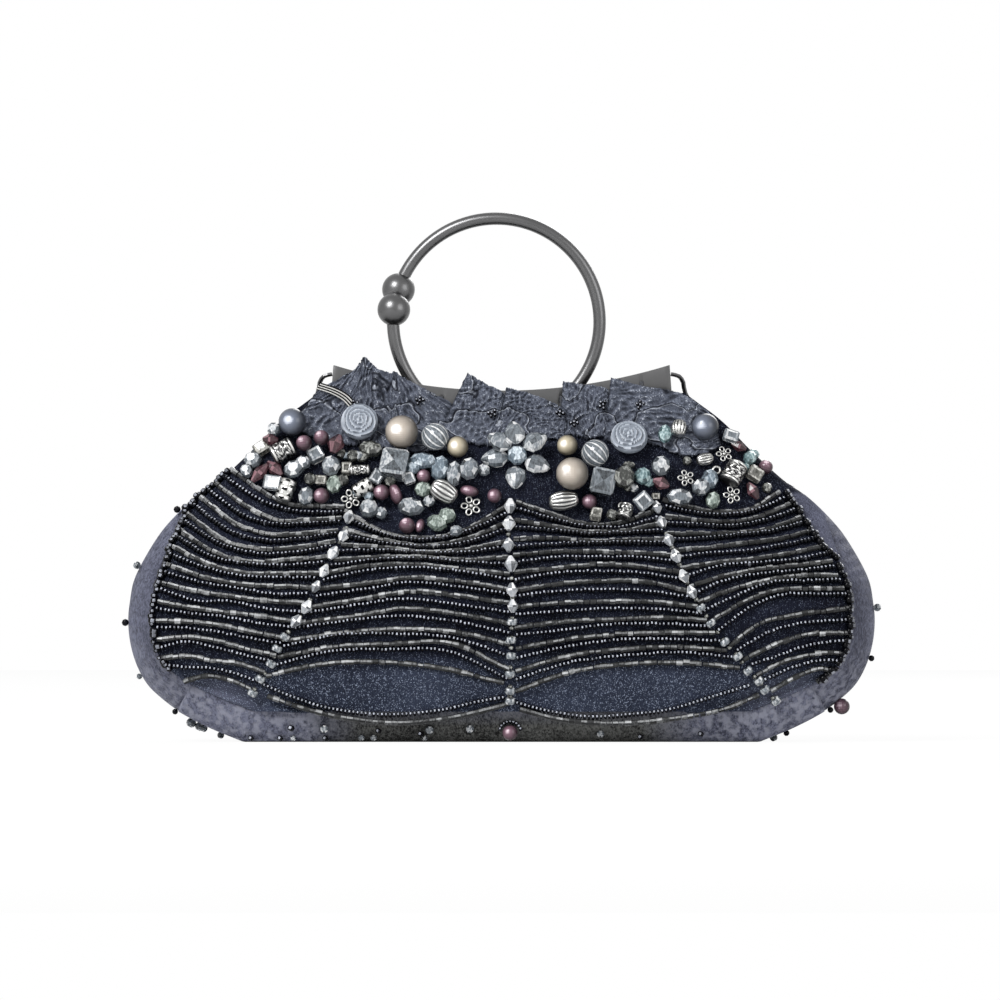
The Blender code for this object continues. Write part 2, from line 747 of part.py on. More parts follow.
def on_front(x, z, lift):
    """A place that stands off the front fabric. Below the seam it hangs straight down from it."""
    if z < SEAM_FOOT:
        return Vector((x, -panel_depth(x, SEAM_FOOT) - lift, z))
    return Vector((x, -panel_depth(x, z), z)) + lift * panel_normal(x, z)


def make_ruffle(name, material_made, edges, tops):
    """One pleated ribbon tab. Its foot lies on the yoke and its top stands in front of the plate."""
    top_curve = curve_through(list(enumerate(tops)))

    def place(across, up):
        x = HALF_WIDTH * (edges[0] + (edges[1] - edges[0]) * (across + 1) / 2)
        top = float(np.interp((across + 1) / 2 * (len(tops) - 1), top_curve[:, 0], top_curve[:, 1]))
        z = BAG_HEIGHT * (RUFFLE_FOOT_SHARE + (top - RUFFLE_FOOT_SHARE) * up)
        pleat = (1 + math.cos(math.pi * RUFFLE_PLEATS * (across + 1))) / 2
        stand = max(panel_depth(x, z), PLATE_FACE + FABRIC) + 2 * GAP + RIBBON_THICKNESS
        return Vector((x, -stand - PLEAT_DEPTH * pleat * up, z))

    return grid_piece(name, material_made, 10, 3, place, RIBBON_THICKNESS)


def bead_place(x_share, z_share, radius, reach=0.0):
    """The middle of a bead, seen from the front at these shares, and the fabric's normal under it. It
    rests on the yoke, or on the ruffle where that lies between."""
    wanted_x, wanted_z = x_share * HALF_WIDTH, z_share * BAG_HEIGHT
    above = (wanted_z + max(radius, reach)) / BAG_HEIGHT - RUFFLE_FOOT_SHARE
    lift = radius + GAP
    first, last = RUFFLE_TAB_SHARES["ruffle_far_left"][0][0], RUFFLE_TAB_SHARES["ruffle_right"][0][1]
    if above > 0 and first < x_share < last:
        ribbon_stand = RIBBON_THICKNESS + GAP + PLEAT_DEPTH * above / (1 - RUFFLE_FOOT_SHARE)
        lift += ribbon_stand * abs(panel_normal(wanted_x, wanted_z).y)
    x, z = wanted_x, wanted_z
    for _ in range(12):
        place = on_front(x, z, lift)
        x += wanted_x - place.x
        z += wanted_z - place.z
    return place, panel_normal(x, z)


def make_barrel(name, material_made, x_share, z_share, radius, length):
    """A silver barrel bead lying along the fabric."""
    profile = [(0, length / 2)]
    profile += [(radius * share, length * height) for share, height in BARREL_PROFILE_SHARES]
    profile.append((0, -length / 2))
    barrel = keep(turned(name, profile, 10), material_made)
    barrel.rotation_euler.y = math.pi / 2
    barrel.location, _ = bead_place(x_share, z_share, radius)
    return smooth(barrel)


def make_square_crystal(name, material_made, x_share, z_share, half):
    bpy.ops.mesh.primitive_cube_add(size=2 * half)
    crystal = bpy.context.object
    crystal.name = name
    crystal.data.transform(Matrix.Diagonal((1, CRYSTAL_DEPTH_SHARE, CRYSTAL_HEIGHT_SHARE, 1)))
    facets = crystal.modifiers.new("facets", "BEVEL")
    facets.width = half / 4
    facets.segments = 1
    crystal.location, outward = bead_place(x_share, z_share, half * CRYSTAL_DEPTH_SHARE)
    crystal.rotation_mode = "QUATERNION"
    crystal.rotation_quaternion = outward.to_track_quat("-Y", "Z")
    return rehome(crystal, material_made)


def make_flower(material_made):
    """A round crystal with six pointed drops joined round it."""
    x_share, z_share = FLOWER_PLACE_SHARES
    radius, petal_radius = FLOWER_CENTRE_SHARE * BEAD_SPAN, PETAL_RADIUS_SHARE * BEAD_SPAN
    root, length = PETAL_ROOT_SHARE * radius, PETAL_LENGTH_SHARE * BEAD_SPAN
    centre, outward = bead_place(x_share, z_share, radius)
    flower = make_ball("crystal_flower", material_made, centre, radius, sides=10, rings=6)
    aside = Vector((1, 0, 0))
    up = outward.cross(aside).normalized()
    aside = up.cross(outward)
    for number, angle in enumerate(PETAL_ANGLES):
        turn = math.radians(angle)
        way = aside * math.cos(turn) - up * math.sin(turn)
        reaches = [root + length * share for share, _ in PETAL_STATION_SHARES]
        sizes = [size for _, size in PETAL_STATION_SHARES]
        petal = as_mesh(tube(f"petal_{number}", [way * reach for reach in reaches], petal_radius, sizes, 1))
        petal.location = centre
        petal.hide_render = True
        petal.display_type = "WIRE"
        CUTTERS.objects.link(petal)
        join = flower.modifiers.new(petal.name, "BOOLEAN")
        join.operation = "UNION"
        join.object = petal
    return flower


for old in list(bpy.data.objects):
    bpy.data.objects.remove(old, do_unlink=True)

PARTS = bpy.data.collections.new("beaded_evening_clutch")
CUTTERS = bpy.data.collections.new("cutters")
bpy.context.scene.collection.children.link(PARTS)
bpy.context.scene.collection.children.link(CUTTERS)
CUTTERS.hide_render = True


def make_bag():
    """The bag's own body: panels, gusset, board, lining, fold strips and hinge rivets."""
    crepe = material("glitter_crepe", (0.06, 0.065, 0.09), 0.75)
    satin = material("gusset_satin", (0.15, 0.155, 0.18), 0.5)
    lining = material("lining_satin", (0.05, 0.05, 0.06), 0.5)
    board = material("board", (0.3, 0.27, 0.22), 0.9)
    rivet_metal = material("rivet_steel", (0.3, 0.3, 0.31), 0.35, 1.0)

    def foot(x, z):
        return SEAM_FOOT

    def fold_foot(x, z):
        return fold_height(x, z) + GAP

    def fold_top(x, z):
        return HINGE_HEIGHT + YOKE_LIFT - GAP

    for side, end in ((-1, "front"), (1, "rear")):
        panel_piece(end + "_panel", crepe.copy(), side, foot, fold_height, PANEL_ROWS)
        panel_piece(end + "_fold", crepe.copy(), side, fold_foot, fold_top, 3)
    make_gusset(satin)
    make_board(board)
    make_lining_pouch(lining)
    make_rivet("hinge_rivet_left", rivet_metal, -1)
    make_rivet("hinge_rivet_right", rivet_metal.copy(), 1)


def make_beading():
    """Bead rows, crystal ribs, borders and scallops on the front panel, under the fold."""
    jet = material("hematite_beads", (0.03, 0.035, 0.05), 0.2, 0.6)
    clear = material("clear_beads", (0.75, 0.78, 0.82), 0.08)
    pearl = material("plum_pearl", (0.22, 0.14, 0.2), 0.25, 0.3)
    left = functools.partial(rib_x, LEFT_RIB_SHARES)
    middle = functools.partial(rib_x, MIDDLE_RIB_SHARES)
    right = functools.partial(rib_x, RIGHT_RIB_SHARES)
    low = FIELD_FOOT_SHARE * BAG_HEIGHT

    def border(z):
        return seam_width(max(z, SEAM_FOOT)) * FIELD_EDGE_SHARE

    def arched(side_share):
        return low + ARCH_RISE_SHARE * BAG_HEIGHT * math.sin(math.pi * side_share)

    def level(side_share):
        return low

    fields = {
        "bead_rows_far_left": ((lambda z: -border(z), lambda z: left(z) - RIB_MARGIN), level),
        "bead_rows_left": ((lambda z: left(z) + RIB_MARGIN, lambda z: middle(z) - RIB_MARGIN), arched),
        "bead_rows_right": ((lambda z: middle(z) + RIB_MARGIN, lambda z: right(z) - RIB_MARGIN), arched),
        "bead_rows_far_right": ((lambda z: right(z) + RIB_MARGIN, border), level),
    }
    for name, (edges, foot) in fields.items():
        make_field(name, jet.copy(), edges, foot, lambda x, z: fold_height(x, z) - ROW_HEIGHT, 7)
    ribs = {"crystal_rib_left": left, "crystal_rib_middle": middle, "crystal_rib_right": right}
    for name, line in ribs.items():
        top = settled(line(HINGE_HEIGHT) / seam_width(HINGE_HEIGHT), fold_height, HINGE_HEIGHT)
        heights = np.linspace(SEAM_FOOT + RIB_BEAD_RADIUS, top - 2 * RIB_BEAD_RADIUS, 6)
        places = [on_front(line(z), z, RIB_BEAD_RADIUS + GAP) for z in heights]
        make_string(name, clear.copy(), places, RIB_BEAD_RADIUS, RIB_BEADS)
    for name, right_side in (("border_beads_left", -1), ("border_beads_right", 1)):
        places = []
        for z in np.linspace(low, BORDER_TOP_SHARE * BAG_HEIGHT, 9):
            x = right_side * seam_width(z) * BORDER_SHARE
            places.append(on_front(x, z, BORDER_BEAD_RADIUS + GAP))
        make_string(name, jet.copy(), places, BORDER_BEAD_RADIUS, BORDER_BEADS)

    def fold_line(side_share):
        return settled((2 * side_share - 1) * FIELD_EDGE_SHARE, fold_height, HINGE_HEIGHT) + ROW_HEIGHT

    edges = (lambda z: -border(z), border)
    fold_top = HINGE_HEIGHT - 2 * ROW_HEIGHT
    make_field("fold_bead_rows", jet.copy(), edges, fold_line, lambda x, z: fold_top, 2, FOLD_FIELD_COLUMNS)
    drop = SCALLOP_DROP_SHARE * BAG_HEIGHT
    for name, start, end in (("scallop_beads_left", left, middle), ("scallop_beads_right", middle, right)):
        places = []
        for share in np.linspace(0, 1, 9):
            x0, x1 = start(SEAM_FOOT) + RIB_MARGIN, end(SEAM_FOOT) - RIB_MARGIN
            z = SEAM_FOOT + 2 * STRING_BEAD_RADIUS - drop * math.sin(math.pi * share)
            places.append(on_front(x0 + (x1 - x0) * share, z, STRING_BEAD_RADIUS + 2 * GAP))
        make_string(name, jet.copy(), places, STRING_BEAD_RADIUS, STRING_BEADS)
    pearl_z = BASE_PEARL_RADIUS + 2 * GAP
    roll = BASE_FLAT_SHARE + (1 - BASE_FLAT_SHARE) * (pearl_z / SEAM_INSET) ** (1 / GUSSET_ROLL)
    place = (middle(0), -SEAM_DEPTH * roll - BASE_PEARL_RADIUS - GAP, pearl_z)
    make_ball("base_pearl", pearl, place, BASE_PEARL_RADIUS, sides=10, rings=6)


def make_half(side, end):
    """One half of the frame with the fabric sewn to it: plate, wires, ring part, ball, yoke, lining."""
    metal = material(end + "_gunmetal", (0.32, 0.32, 0.33), 0.33, 1.0)
    crepe = material(end + "_yoke_crepe", (0.06, 0.065, 0.09), 0.75)
    lining = material(end + "_lining_satin", (0.05, 0.05, 0.06), 0.5)
    make_plate(end + "_frame_plate", metal, side, PLATE_INNER)
    for name, right in ((end + "_wire_left", -1), (end + "_wire_right", 1)):
        make_wire(name, metal.copy(), side, right)
    ball_angle = FRONT_BALL_ANGLE if side < 0 else REAR_BALL_ANGLE
    arc_end = FRONT_ARC_END if side < 0 else REAR_ARC_END
    seat = (BALL_RADIUS + GAP) / RING_RADIUS
    start = ball_angle + math.copysign(seat, arc_end - ball_angle)
    make_arc(end + "_handle_arc", metal.copy(), side, start, arc_end, PLATE_INNER)
    make_ball(end + "_clasp_ball", metal.copy(), ring_point(ball_angle, side * BALL_OFFSET), BALL_RADIUS)

    def yoke_foot(x, z):
        return HINGE_HEIGHT + YOKE_LIFT

    def yoke_top(x, z):
        return frame_edge(x, PLATE_HEIGHT - YOKE_LAP)

    def lining_top(x, z):
        return frame_edge(x, PLATE_HEIGHT + 2 * GAP)

    panel_piece(end + "_yoke", crepe, side, yoke_foot, yoke_top, YOKE_ROWS)
    panel_piece(
        end + "_yoke_lining", lining, side, yoke_foot, lining_top, 3, YOKE_LINING_INSET, 0.9, LINING
    )


def make_ornament():
    """The ruffle along the frame and the large beads sewn over its foot."""
    ribbon = material("ruffle_ribbon", (0.2, 0.22, 0.27), 0.6)
    for name, (edges, tops) in RUFFLE_TAB_SHARES.items():
        make_ruffle(name, ribbon.copy(), edges, tops)
    colours = {
        "champagne": (0.72, 0.62, 0.55),
        "gold": (0.66, 0.52, 0.38),
        "blue": (0.3, 0.34, 0.42),
        "striped": (0.7, 0.74, 0.78),
    }
    for name, (x_share, z_share, radius_share) in PEARL_SHARES.items():
        radius = radius_share * BEAD_SPAN
        made = material(name, colours[name.split("_")[0]], 0.2)
        place, _ = bead_place(x_share, z_share, radius)
        make_ball(name, made, place, radius)
    for name, (x_share, z_share, radius_share, seat_share) in ROSE_SHARES.items():
        radius = radius_share * BEAD_SPAN
        place, outward = bead_place(x_share, z_share, radius * seat_share, radius)
        made = material(name, (0.78, 0.82, 0.88), 0.3)
        rose = make_ball(name, made, place, radius, (1, ROSE_DEPTH_SHARE, 1))
        rose.rotation_mode = "QUATERNION"
        rose.rotation_quaternion = outward.to_track_quat("-Y", "Z")
    for name, (x_share, z_share, half_share) in SQUARE_CRYSTAL_SHARES.items():
        made = material(name, (0.78, 0.82, 0.86), 0.05)
        make_square_crystal(name, made, x_share, z_share, half_share * BEAD_SPAN)
    for name, (x_share, z_share, radius_share, length_share) in BARREL_SHARES.items():
        made = material(name, (0.45, 0.45, 0.46), 0.3, 1.0)
        make_barrel(name, made, x_share, z_share, radius_share * BEAD_SPAN, length_share * BEAD_SPAN)
    make_flower(material("crystal_flower", (0.8, 0.83, 0.88), 0.05))


make_bag()
make_beading()
make_half(-1, "front")
make_half(1, "rear")
make_ornament()
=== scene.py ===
# %% [markdown]
# # A beaded evening clutch
# The bag is a soft crepe pouch in a two-plate metal frame. A split ring carries it, and its front is
# sewn with rows of tiny beads, crystal ribs, a crinkled ribbon and a cluster of large beads. The packed
# model gives every body, joint and size. This script keeps those and makes the surfaces that are seen.

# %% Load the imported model
import math

import bpy
import numpy as np
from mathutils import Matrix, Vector


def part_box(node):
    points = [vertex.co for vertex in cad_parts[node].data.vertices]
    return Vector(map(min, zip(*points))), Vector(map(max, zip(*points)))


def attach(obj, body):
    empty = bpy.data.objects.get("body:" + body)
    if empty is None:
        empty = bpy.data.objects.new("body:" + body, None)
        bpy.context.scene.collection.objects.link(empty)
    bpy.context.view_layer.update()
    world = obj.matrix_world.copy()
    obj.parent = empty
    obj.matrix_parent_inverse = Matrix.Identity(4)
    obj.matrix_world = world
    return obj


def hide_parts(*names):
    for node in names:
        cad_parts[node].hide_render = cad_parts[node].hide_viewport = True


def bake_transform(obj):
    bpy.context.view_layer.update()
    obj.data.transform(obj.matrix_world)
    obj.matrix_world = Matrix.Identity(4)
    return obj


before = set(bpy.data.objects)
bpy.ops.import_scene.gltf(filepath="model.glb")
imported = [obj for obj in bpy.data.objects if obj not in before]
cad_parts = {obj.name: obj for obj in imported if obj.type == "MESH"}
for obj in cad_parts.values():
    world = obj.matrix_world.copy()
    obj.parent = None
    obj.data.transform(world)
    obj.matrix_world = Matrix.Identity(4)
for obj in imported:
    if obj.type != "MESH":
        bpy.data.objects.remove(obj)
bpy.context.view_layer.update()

# %% [markdown]
# ## Camera
# The bag faces the camera squarely. A long lens from far away keeps the outline flat, as in a product
# picture. One pixel covers 0.375 mm at the bag's middle plane, so a place in the picture gives a place
# on the bag, and the lens follows from the distance.

# %% Camera
PIXEL = 0.000375
CAMERA_REACH = 6.0
CENTRE_X = -0.00056
CENTRE_Z = 0.0904
MIDDLE_PIXEL = 500
SENSOR_MM = 36
IMAGE_PIXELS = 1000
QUARTER = math.pi / 2

lens_mm = SENSOR_MM * CAMERA_REACH / (IMAGE_PIXELS * PIXEL)
bpy.ops.object.camera_add(location=(CENTRE_X, -CAMERA_REACH, CENTRE_Z), rotation=(QUARTER, 0, 0))
camera = bpy.context.object
camera.data.sensor_width = SENSOR_MM
camera.data.lens = lens_mm
camera.data.clip_end = 100
bpy.context.scene.camera = camera
bpy.context.scene.view_settings.view_transform = "Standard"
print("lens", round(lens_mm), "mm")

# %% [markdown]
# ## Modelling helpers
# An operator acts on all that is selected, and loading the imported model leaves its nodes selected. So
# each new shape starts from an empty selection, and a piece is picked alone before it is changed.


# %% Modelling helpers
def new_primitive(kind, **settings):
    """Adds a primitive with nothing else selected."""
    bpy.ops.object.select_all(action="DESELECT")
    getattr(bpy.ops.mesh, f"primitive_{kind}_add")(**settings)
    return bpy.context.object


def pick(piece):
    """Selects one piece alone and makes it active."""
    bpy.ops.object.select_all(action="DESELECT")
    bpy.context.view_layer.objects.active = piece
    piece.select_set(True)


def edit_all():
    """Opens the active piece for editing, with all of its mesh selected."""
    bpy.ops.object.mode_set(mode="EDIT")
    bpy.ops.mesh.select_all(action="SELECT")


# %% [markdown]
# ## Shader helper
# A finish is a small sum: a base colour, plus grain, plus wear. Writing that as an expression is easier
# to read than a list of links, so one class wraps a socket and turns sums into Math nodes.


# %% Shader helper
class Value:
    """An output of a shader node. Sums and products of values add Math nodes."""

    def __init__(self, socket):
        self.socket = socket
        self.tree = socket.id_data

    def node(self, kind, settings, inputs, output=0):
        """Adds a node: its settings first, then the values or links of its sockets."""
        made = self.tree.nodes.new(kind)
        for name, setting in settings.items():
            if name == "stops":
                stops = made.color_ramp.elements
                while len(stops) < len(setting):
                    stops.new(1.0)
                for stop, (place, shade) in zip(stops, setting):
                    stop.position = place
                    stop.color = (*shade, 1)
            else:
                setattr(made, name, setting)
        for name, value in inputs.items():
            if isinstance(value, Value):
                self.tree.links.new(value.socket, made.inputs[name])
            else:
                made.inputs[name].default_value = value
        return Value(made.outputs[output])

    def math(self, operation, first, second):
        return self.node("ShaderNodeMath", {"operation": operation}, {0: first, 1: second})

    def __add__(self, other):
        return self.math("ADD", self, other)

    def __sub__(self, other):
        return self.math("SUBTRACT", self, other)

    def __mul__(self, other):
        return self.math("MULTIPLY", self, other)

    def __gt__(self, other):
        return self.math("GREATER_THAN", self, other)

    def __radd__(self, other):
        return self.math("ADD", other, self)

    def __rsub__(self, other):
        return self.math("SUBTRACT", other, self)

    def __rmul__(self, other):
        return self.math("MULTIPLY", other, self)

    def larger(self, other):
        return self.math("MAXIMUM", self, other)

    def axis(self, number):
        """One of the three numbers of a place."""
        return self.node("ShaderNodeSeparateXYZ", {}, {0: self}, number)

    def size(self):
        return self.math("ABSOLUTE", self, 0)

    def scaled(self, x, y, z):
        """The same place with each direction stretched, to draw a pattern out along one of them."""
        return self.node("ShaderNodeVectorMath", {"operation": "MULTIPLY"}, {0: self, 1: (x, y, z)})

    def noise(self, scale, detail=2.0):
        return self.node("ShaderNodeTexNoise", {}, {"Vector": self, "Scale": scale, "Detail": detail})

    def specks(self, scale):
        """A random shade for each small cell."""
        cells = self.node("ShaderNodeTexVoronoi", {}, {"Vector": self, "Scale": scale}, 1)
        return cells.node("ShaderNodeSeparateColor", {}, {0: cells})

    def spread(self, low, high):
        """Stretches what lies between low and high to the range from 0 to 1."""
        limits = {"Value": self, "From Min": low, "From Max": high}
        return self.node("ShaderNodeMapRange", {"clamp": True}, limits)

    def ramp(self, *stops):
        return self.node("ShaderNodeValToRGB", {"stops": stops}, {"Fac": self})

    def mix(self, first, second):
        """The first colour where this is 0, and the second where it is 1."""
        first = first if isinstance(first, Value) else (*first, 1)
        second = second if isinstance(second, Value) else (*second, 1)
        return self.node("ShaderNodeMix", {"data_type": "RGBA"}, {0: self, 6: first, 7: second}, 2)


class Finish:
    """A material: its constants on the shader's own sockets, its patterns linked to them."""

    def __init__(self, name, colour, roughness, metallic=0.0, **constants):
        self.material = bpy.data.materials.new(name)
        self.material.use_nodes = True
        self.material.diffuse_color = (*colour, 1)
        self.shader = self.material.node_tree.nodes["Principled BSDF"]
        self.shader.inputs["Base Color"].default_value = (*colour, 1)
        self.shader.inputs["Roughness"].default_value = roughness
        self.shader.inputs["Metallic"].default_value = metallic
        for socket, value in constants.items():
            self.shader.inputs[socket.replace("_", " ")].default_value = value
        coordinates = self.material.node_tree.nodes.new("ShaderNodeTexCoord")
        self.place = Value(coordinates.outputs["Object"])

    def attribute(self, name):
        nodes = self.material.node_tree.nodes
        made = nodes.new("ShaderNodeAttribute")
        made.attribute_name = name
        return Value(made.outputs["Fac"])

    def link(self, socket, value):
        self.material.node_tree.links.new(value.socket, self.shader.inputs[socket])

    def bump(self, height, distance, strength=1.0):
        relief = {"Height": height, "Distance": distance, "Strength": strength}
        self.link("Normal", height.node("ShaderNodeBump", {}, relief))


# %% [markdown]
# ## Floor and light
# The floor is plain and pale and takes the bag's shadow. The surround is white where the camera, a
# mirror or glass looks at it, and gives a softer light to everything else. Two broad lamps stand in
# front, so that pearls and bugles get a clear window-shaped glint from the upper left, and a third
# lights the rear.

# %% Floor, surround and lamps
SURROUND_LIGHT = 0.34
FLOOR_SIZE = 5
FLOOR_GLOW = 0.94

floor = new_primitive("plane", size=FLOOR_SIZE)
floor.name = "pale_floor"
floor_finish = Finish("floor_paper", (0.9, 0.9, 0.9), 0.9)
tree = floor_finish.material.node_tree
seen = Value(tree.nodes.new("ShaderNodeLightPath").outputs["Is Camera Ray"])
glow = seen.node("ShaderNodeEmission", {}, {"Color": (1, 1, 1, 1), "Strength": 1.0})
paper = Value(floor_finish.shader.outputs[0])
floor_mix = seen.node("ShaderNodeMixShader", {}, {0: seen * FLOOR_GLOW, 1: paper, 2: glow})
tree.links.new(floor_mix.socket, tree.nodes["Material Output"].inputs["Surface"])
floor.data.materials.append(floor_finish.material)

world = bpy.data.worlds.new("studio")
bpy.context.scene.world = world
world.use_nodes = True
paths = world.node_tree.nodes.new("ShaderNodeLightPath").outputs
direct = Value(paths["Is Camera Ray"])
for other_ray in ("Is Glossy Ray", "Is Transmission Ray"):
    direct = direct.larger(Value(paths[other_ray]))
strength = direct * (1 - SURROUND_LIGHT) + SURROUND_LIGHT
background = world.node_tree.nodes["Background"]
background.inputs["Color"].default_value = (1, 1, 1, 1)
world.node_tree.links.new(strength.socket, background.inputs["Strength"])

# Place, size and power of each lamp
LAMPS = {
    "key_lamp": ((-1.1, -1.5, 1.5), 1.0, 62),
    "fill_lamp": ((1.5, -1.4, 0.7), 1.2, 14),
    "rear_lamp": ((0.6, 1.8, 1.2), 1.2, 20),
}
for name, (place, size, power) in LAMPS.items():
    aim = (Vector((0, 0, CENTRE_Z)) - Vector(place)).to_track_quat("-Z", "Y").to_euler()
    bpy.ops.object.light_add(type="AREA", location=place, rotation=aim)
    lamp = bpy.context.object
    lamp.name = name
    lamp.data.size = size
    lamp.data.energy = power
print(len(LAMPS), "lamps")

# %% [markdown]
# ## Metals
# Frame, ring and wires are a satin gunmetal: grey, brushed fine enough to blur what it mirrors. The
# silver beads are antiqued, dark in the hollows and rubbed bright on top, which an attribute gives.


# %% Metal finishes
def make_gunmetal(name, colour):
    """Satin gunmetal with a faint brushing that changes its gloss."""
    metal = Finish(name, colour, 0.3, 1.0)
    brushing = metal.place.scaled(1, 1, 12).noise(900, 3)
    clouds = metal.place.noise(60)
    metal.link("Roughness", 0.24 + 0.10 * brushing + 0.06 * clouds)
    metal.link("Base Color", clouds.spread(0.3, 0.7).mix([c * 0.88 for c in colour], colour))
    metal.bump(brushing, 0.00002, 0.4)
    return metal.material


def make_silver(name):
    """Antique silver: the attribute called tone is 0 in a hollow and 1 on a rubbed edge."""
    metal = Finish(name, (0.5, 0.5, 0.5), 0.28, 1.0)
    tone = metal.attribute("tone")
    grime = metal.place.noise(1500)
    metal.link("Base Color", tone.ramp((0.0, (0.004, 0.004, 0.005)), (0.45, (0.085, 0.085, 0.088)),
                                       (1.0, (0.60, 0.60, 0.58))))
    metal.link("Roughness", 0.2 + 0.25 * grime)
    return metal.material


GUNMETAL = make_gunmetal("gunmetal_satin", (0.118, 0.118, 0.120))
STEEL = make_gunmetal("rivet_steel", (0.30, 0.30, 0.31))
SILVER = make_silver("antique_silver")
print("metals made")

# %% [markdown]
# ## Cloths
# The panels are a dark blue-black crepe with a fine upright crinkle and glitter, each glint smaller
# than half a millimetre, with painted shade among the beads and a painted sheen at the lower corners.
# The side band is a paler satin, crushed at its lower corners, where it has a painted sheen, and with
# painted shade along the seams. The ribbon is slate blue, with a painted glint where its metallic
# threads catch the light, and dark fold lines of painted shade beside a painted highlight. The board
# inside is plain card. All are made at their real scale.


# %% Cloth finishes
def make_crepe():
    """Crinkled and glittery, with painted shade among the beads and painted sheen at the lower corners."""
    cloth = Finish("glitter_crepe", (0.02, 0.024, 0.04), 0.8, Specular_IOR_Level=0.06)
    crinkle = cloth.place.scaled(1, 1, 0.16).noise(2600, 3)
    clouds = cloth.place.noise(45)
    glint = cloth.place.specks(3900) > 0.87
    shade = (0.6 * crinkle + 0.4 * clouds).spread(0.34, 0.66)
    open_cloth = shade.mix((0.008, 0.010, 0.018), (0.030, 0.037, 0.060))
    # Painted shade among the beads: on the front, among the rows and the cluster, the crepe is darker and
    # its glitter glints less.
    shade_under_beads = shade.mix((0.0012, 0.0014, 0.0035), (0.010, 0.012, 0.023))
    band_side = shade.mix((0.016, 0.017, 0.028), (0.140, 0.148, 0.205))
    height = cloth.place.axis(2)
    behind = cloth.place.axis(1) > 0.0
    beaded = height.spread(0.026, 0.034) * (1 - behind)
    # Painted sheen: at the lower corners, where the cloth folds, the crepe turns paler in patches.
    corner = cloth.place.axis(0).size().spread(0.085, 0.112) * (1 - height.spread(0.016, 0.027))
    dark = beaded.mix(open_cloth, shade_under_beads)
    corner_sheen = (corner * clouds.spread(0.25, 0.55)).mix(dark, (0.095, 0.100, 0.140))
    sparkle = glint * crinkle.spread(0.35, 0.6) * (1 - 0.7 * beaded)
    glittered = sparkle.mix(corner_sheen, (0.24, 0.28, 0.37))
    cloth.link("Base Color", cloth.attribute("beyond").mix(glittered, band_side))
    cloth.bump(crinkle + 0.6 * glint, 0.00025, 0.7)
    return cloth.material


def make_satin():
    """Slubbed, with painted shade along the seams, dark along the foot, and a painted sheen in patches
    where the corners are crushed.
    """
    cloth = Finish("gusset_satin", (0.10, 0.105, 0.142), 0.6, Specular_IOR_Level=0.1)
    weave = cloth.place.scaled(1, 1, 0.5).noise(2100, 3)
    slubs = cloth.place.scaled(1, 1, 0.5).noise(900, 3)
    clouds = cloth.place.noise(42, 3)
    shade = (0.40 * weave + 0.35 * slubs + 0.25 * clouds).spread(0.42, 0.58)
    crushed = 1 - cloth.place.axis(2).spread(0.014, 0.040)
    # Painted sheen: low on the band, where the corners are crushed, patches turn paler.
    sheen = 0.8 * crushed * cloth.place.noise(330, 5).spread(0.44, 0.60)
    satin = shade.mix((0.034, 0.036, 0.053), (0.128, 0.135, 0.186))
    # Painted shade: the band darkens along the seams, above its crushed lower part.
    seam = 0.55 * cloth.place.axis(1).size().spread(0.016, 0.036) * (1 - crushed)
    sides = seam.mix(sheen.mix(satin, (0.215, 0.222, 0.270)), (0.020, 0.022, 0.036))
    foot = shade.mix((0.010, 0.010, 0.010), (0.115, 0.117, 0.113))
    high = cloth.place.axis(2).spread(0.006, 0.016)
    outer = cloth.place.axis(0).size().spread(0.052, 0.074)
    cloth.link("Base Color", high.larger(outer).mix(foot, sides))
    cloth.bump(0.6 * weave + 0.4 * slubs, 0.0003, 0.7)
    return cloth.material


def make_lining():
    cloth = Finish("lining_satin", (0.03, 0.032, 0.04), 0.42, Sheen_Weight=0.2)
    weave = cloth.place.scaled(1, 1, 3).noise(1500, 2)
    cloth.link("Base Color", weave.spread(0.3, 0.7).mix((0.022, 0.024, 0.03), (0.05, 0.053, 0.064)))
    cloth.bump(weave, 0.00008, 0.4)
    return cloth.material


def make_ribbon():
    """A tight weave with a painted glint on its ridges and painted shade in its hollows, sides and foot,
    crossed by dark fold lines of painted shade with a painted highlight along one edge.
    """
    cloth = Finish("crushed_ribbon", (0.06, 0.07, 0.10), 0.65, Specular_IOR_Level=0.1)
    threads = cloth.place.scaled(0.35, 1, 1).noise(3400, 3)
    across = cloth.place.scaled(1, 1, 0.3).noise(2800, 3)
    creases = cloth.place.scaled(0.45, 1, 1).noise(520, 4)
    shade = (0.45 * threads + 0.40 * across + 0.15 * creases).spread(0.38, 0.62)
    base = shade.mix((0.036, 0.042, 0.060), (0.132, 0.146, 0.186))
    ridge = cloth.attribute("tone")
    # Painted highlight: on the ridges the threads glint pale.
    pale = (threads * across).spread(0.27, 0.36) * ridge.spread(0.50, 0.90)
    fold = cloth.place.scaled(0.8, 1, 1).noise(58, 2) - 0.5
    fold_line = fold.size().spread(0.002, 0.012)
    # Painted highlight: a pale edge runs beside each fold line.
    fold_highlight = 1 - (fold - 0.016).size().spread(0.002, 0.008)
    # Painted shade: dark along the fold lines, in the hollows, and at the tab's sides and foot.
    clear_of_shade = (0.12 + 0.88 * fold_line) * (0.25 + 0.75 * ridge.spread(0.0, 0.5))
    lit = pale.larger(0.55 * fold_highlight).mix(base, (0.46, 0.49, 0.55))
    cloth.link("Base Color", clear_of_shade.mix((0.006, 0.007, 0.011), lit))
    cloth.bump(0.3 * threads + 0.3 * across + 0.4 * creases + 0.6 * fold_line, 0.0006, 0.9)
    return cloth.material


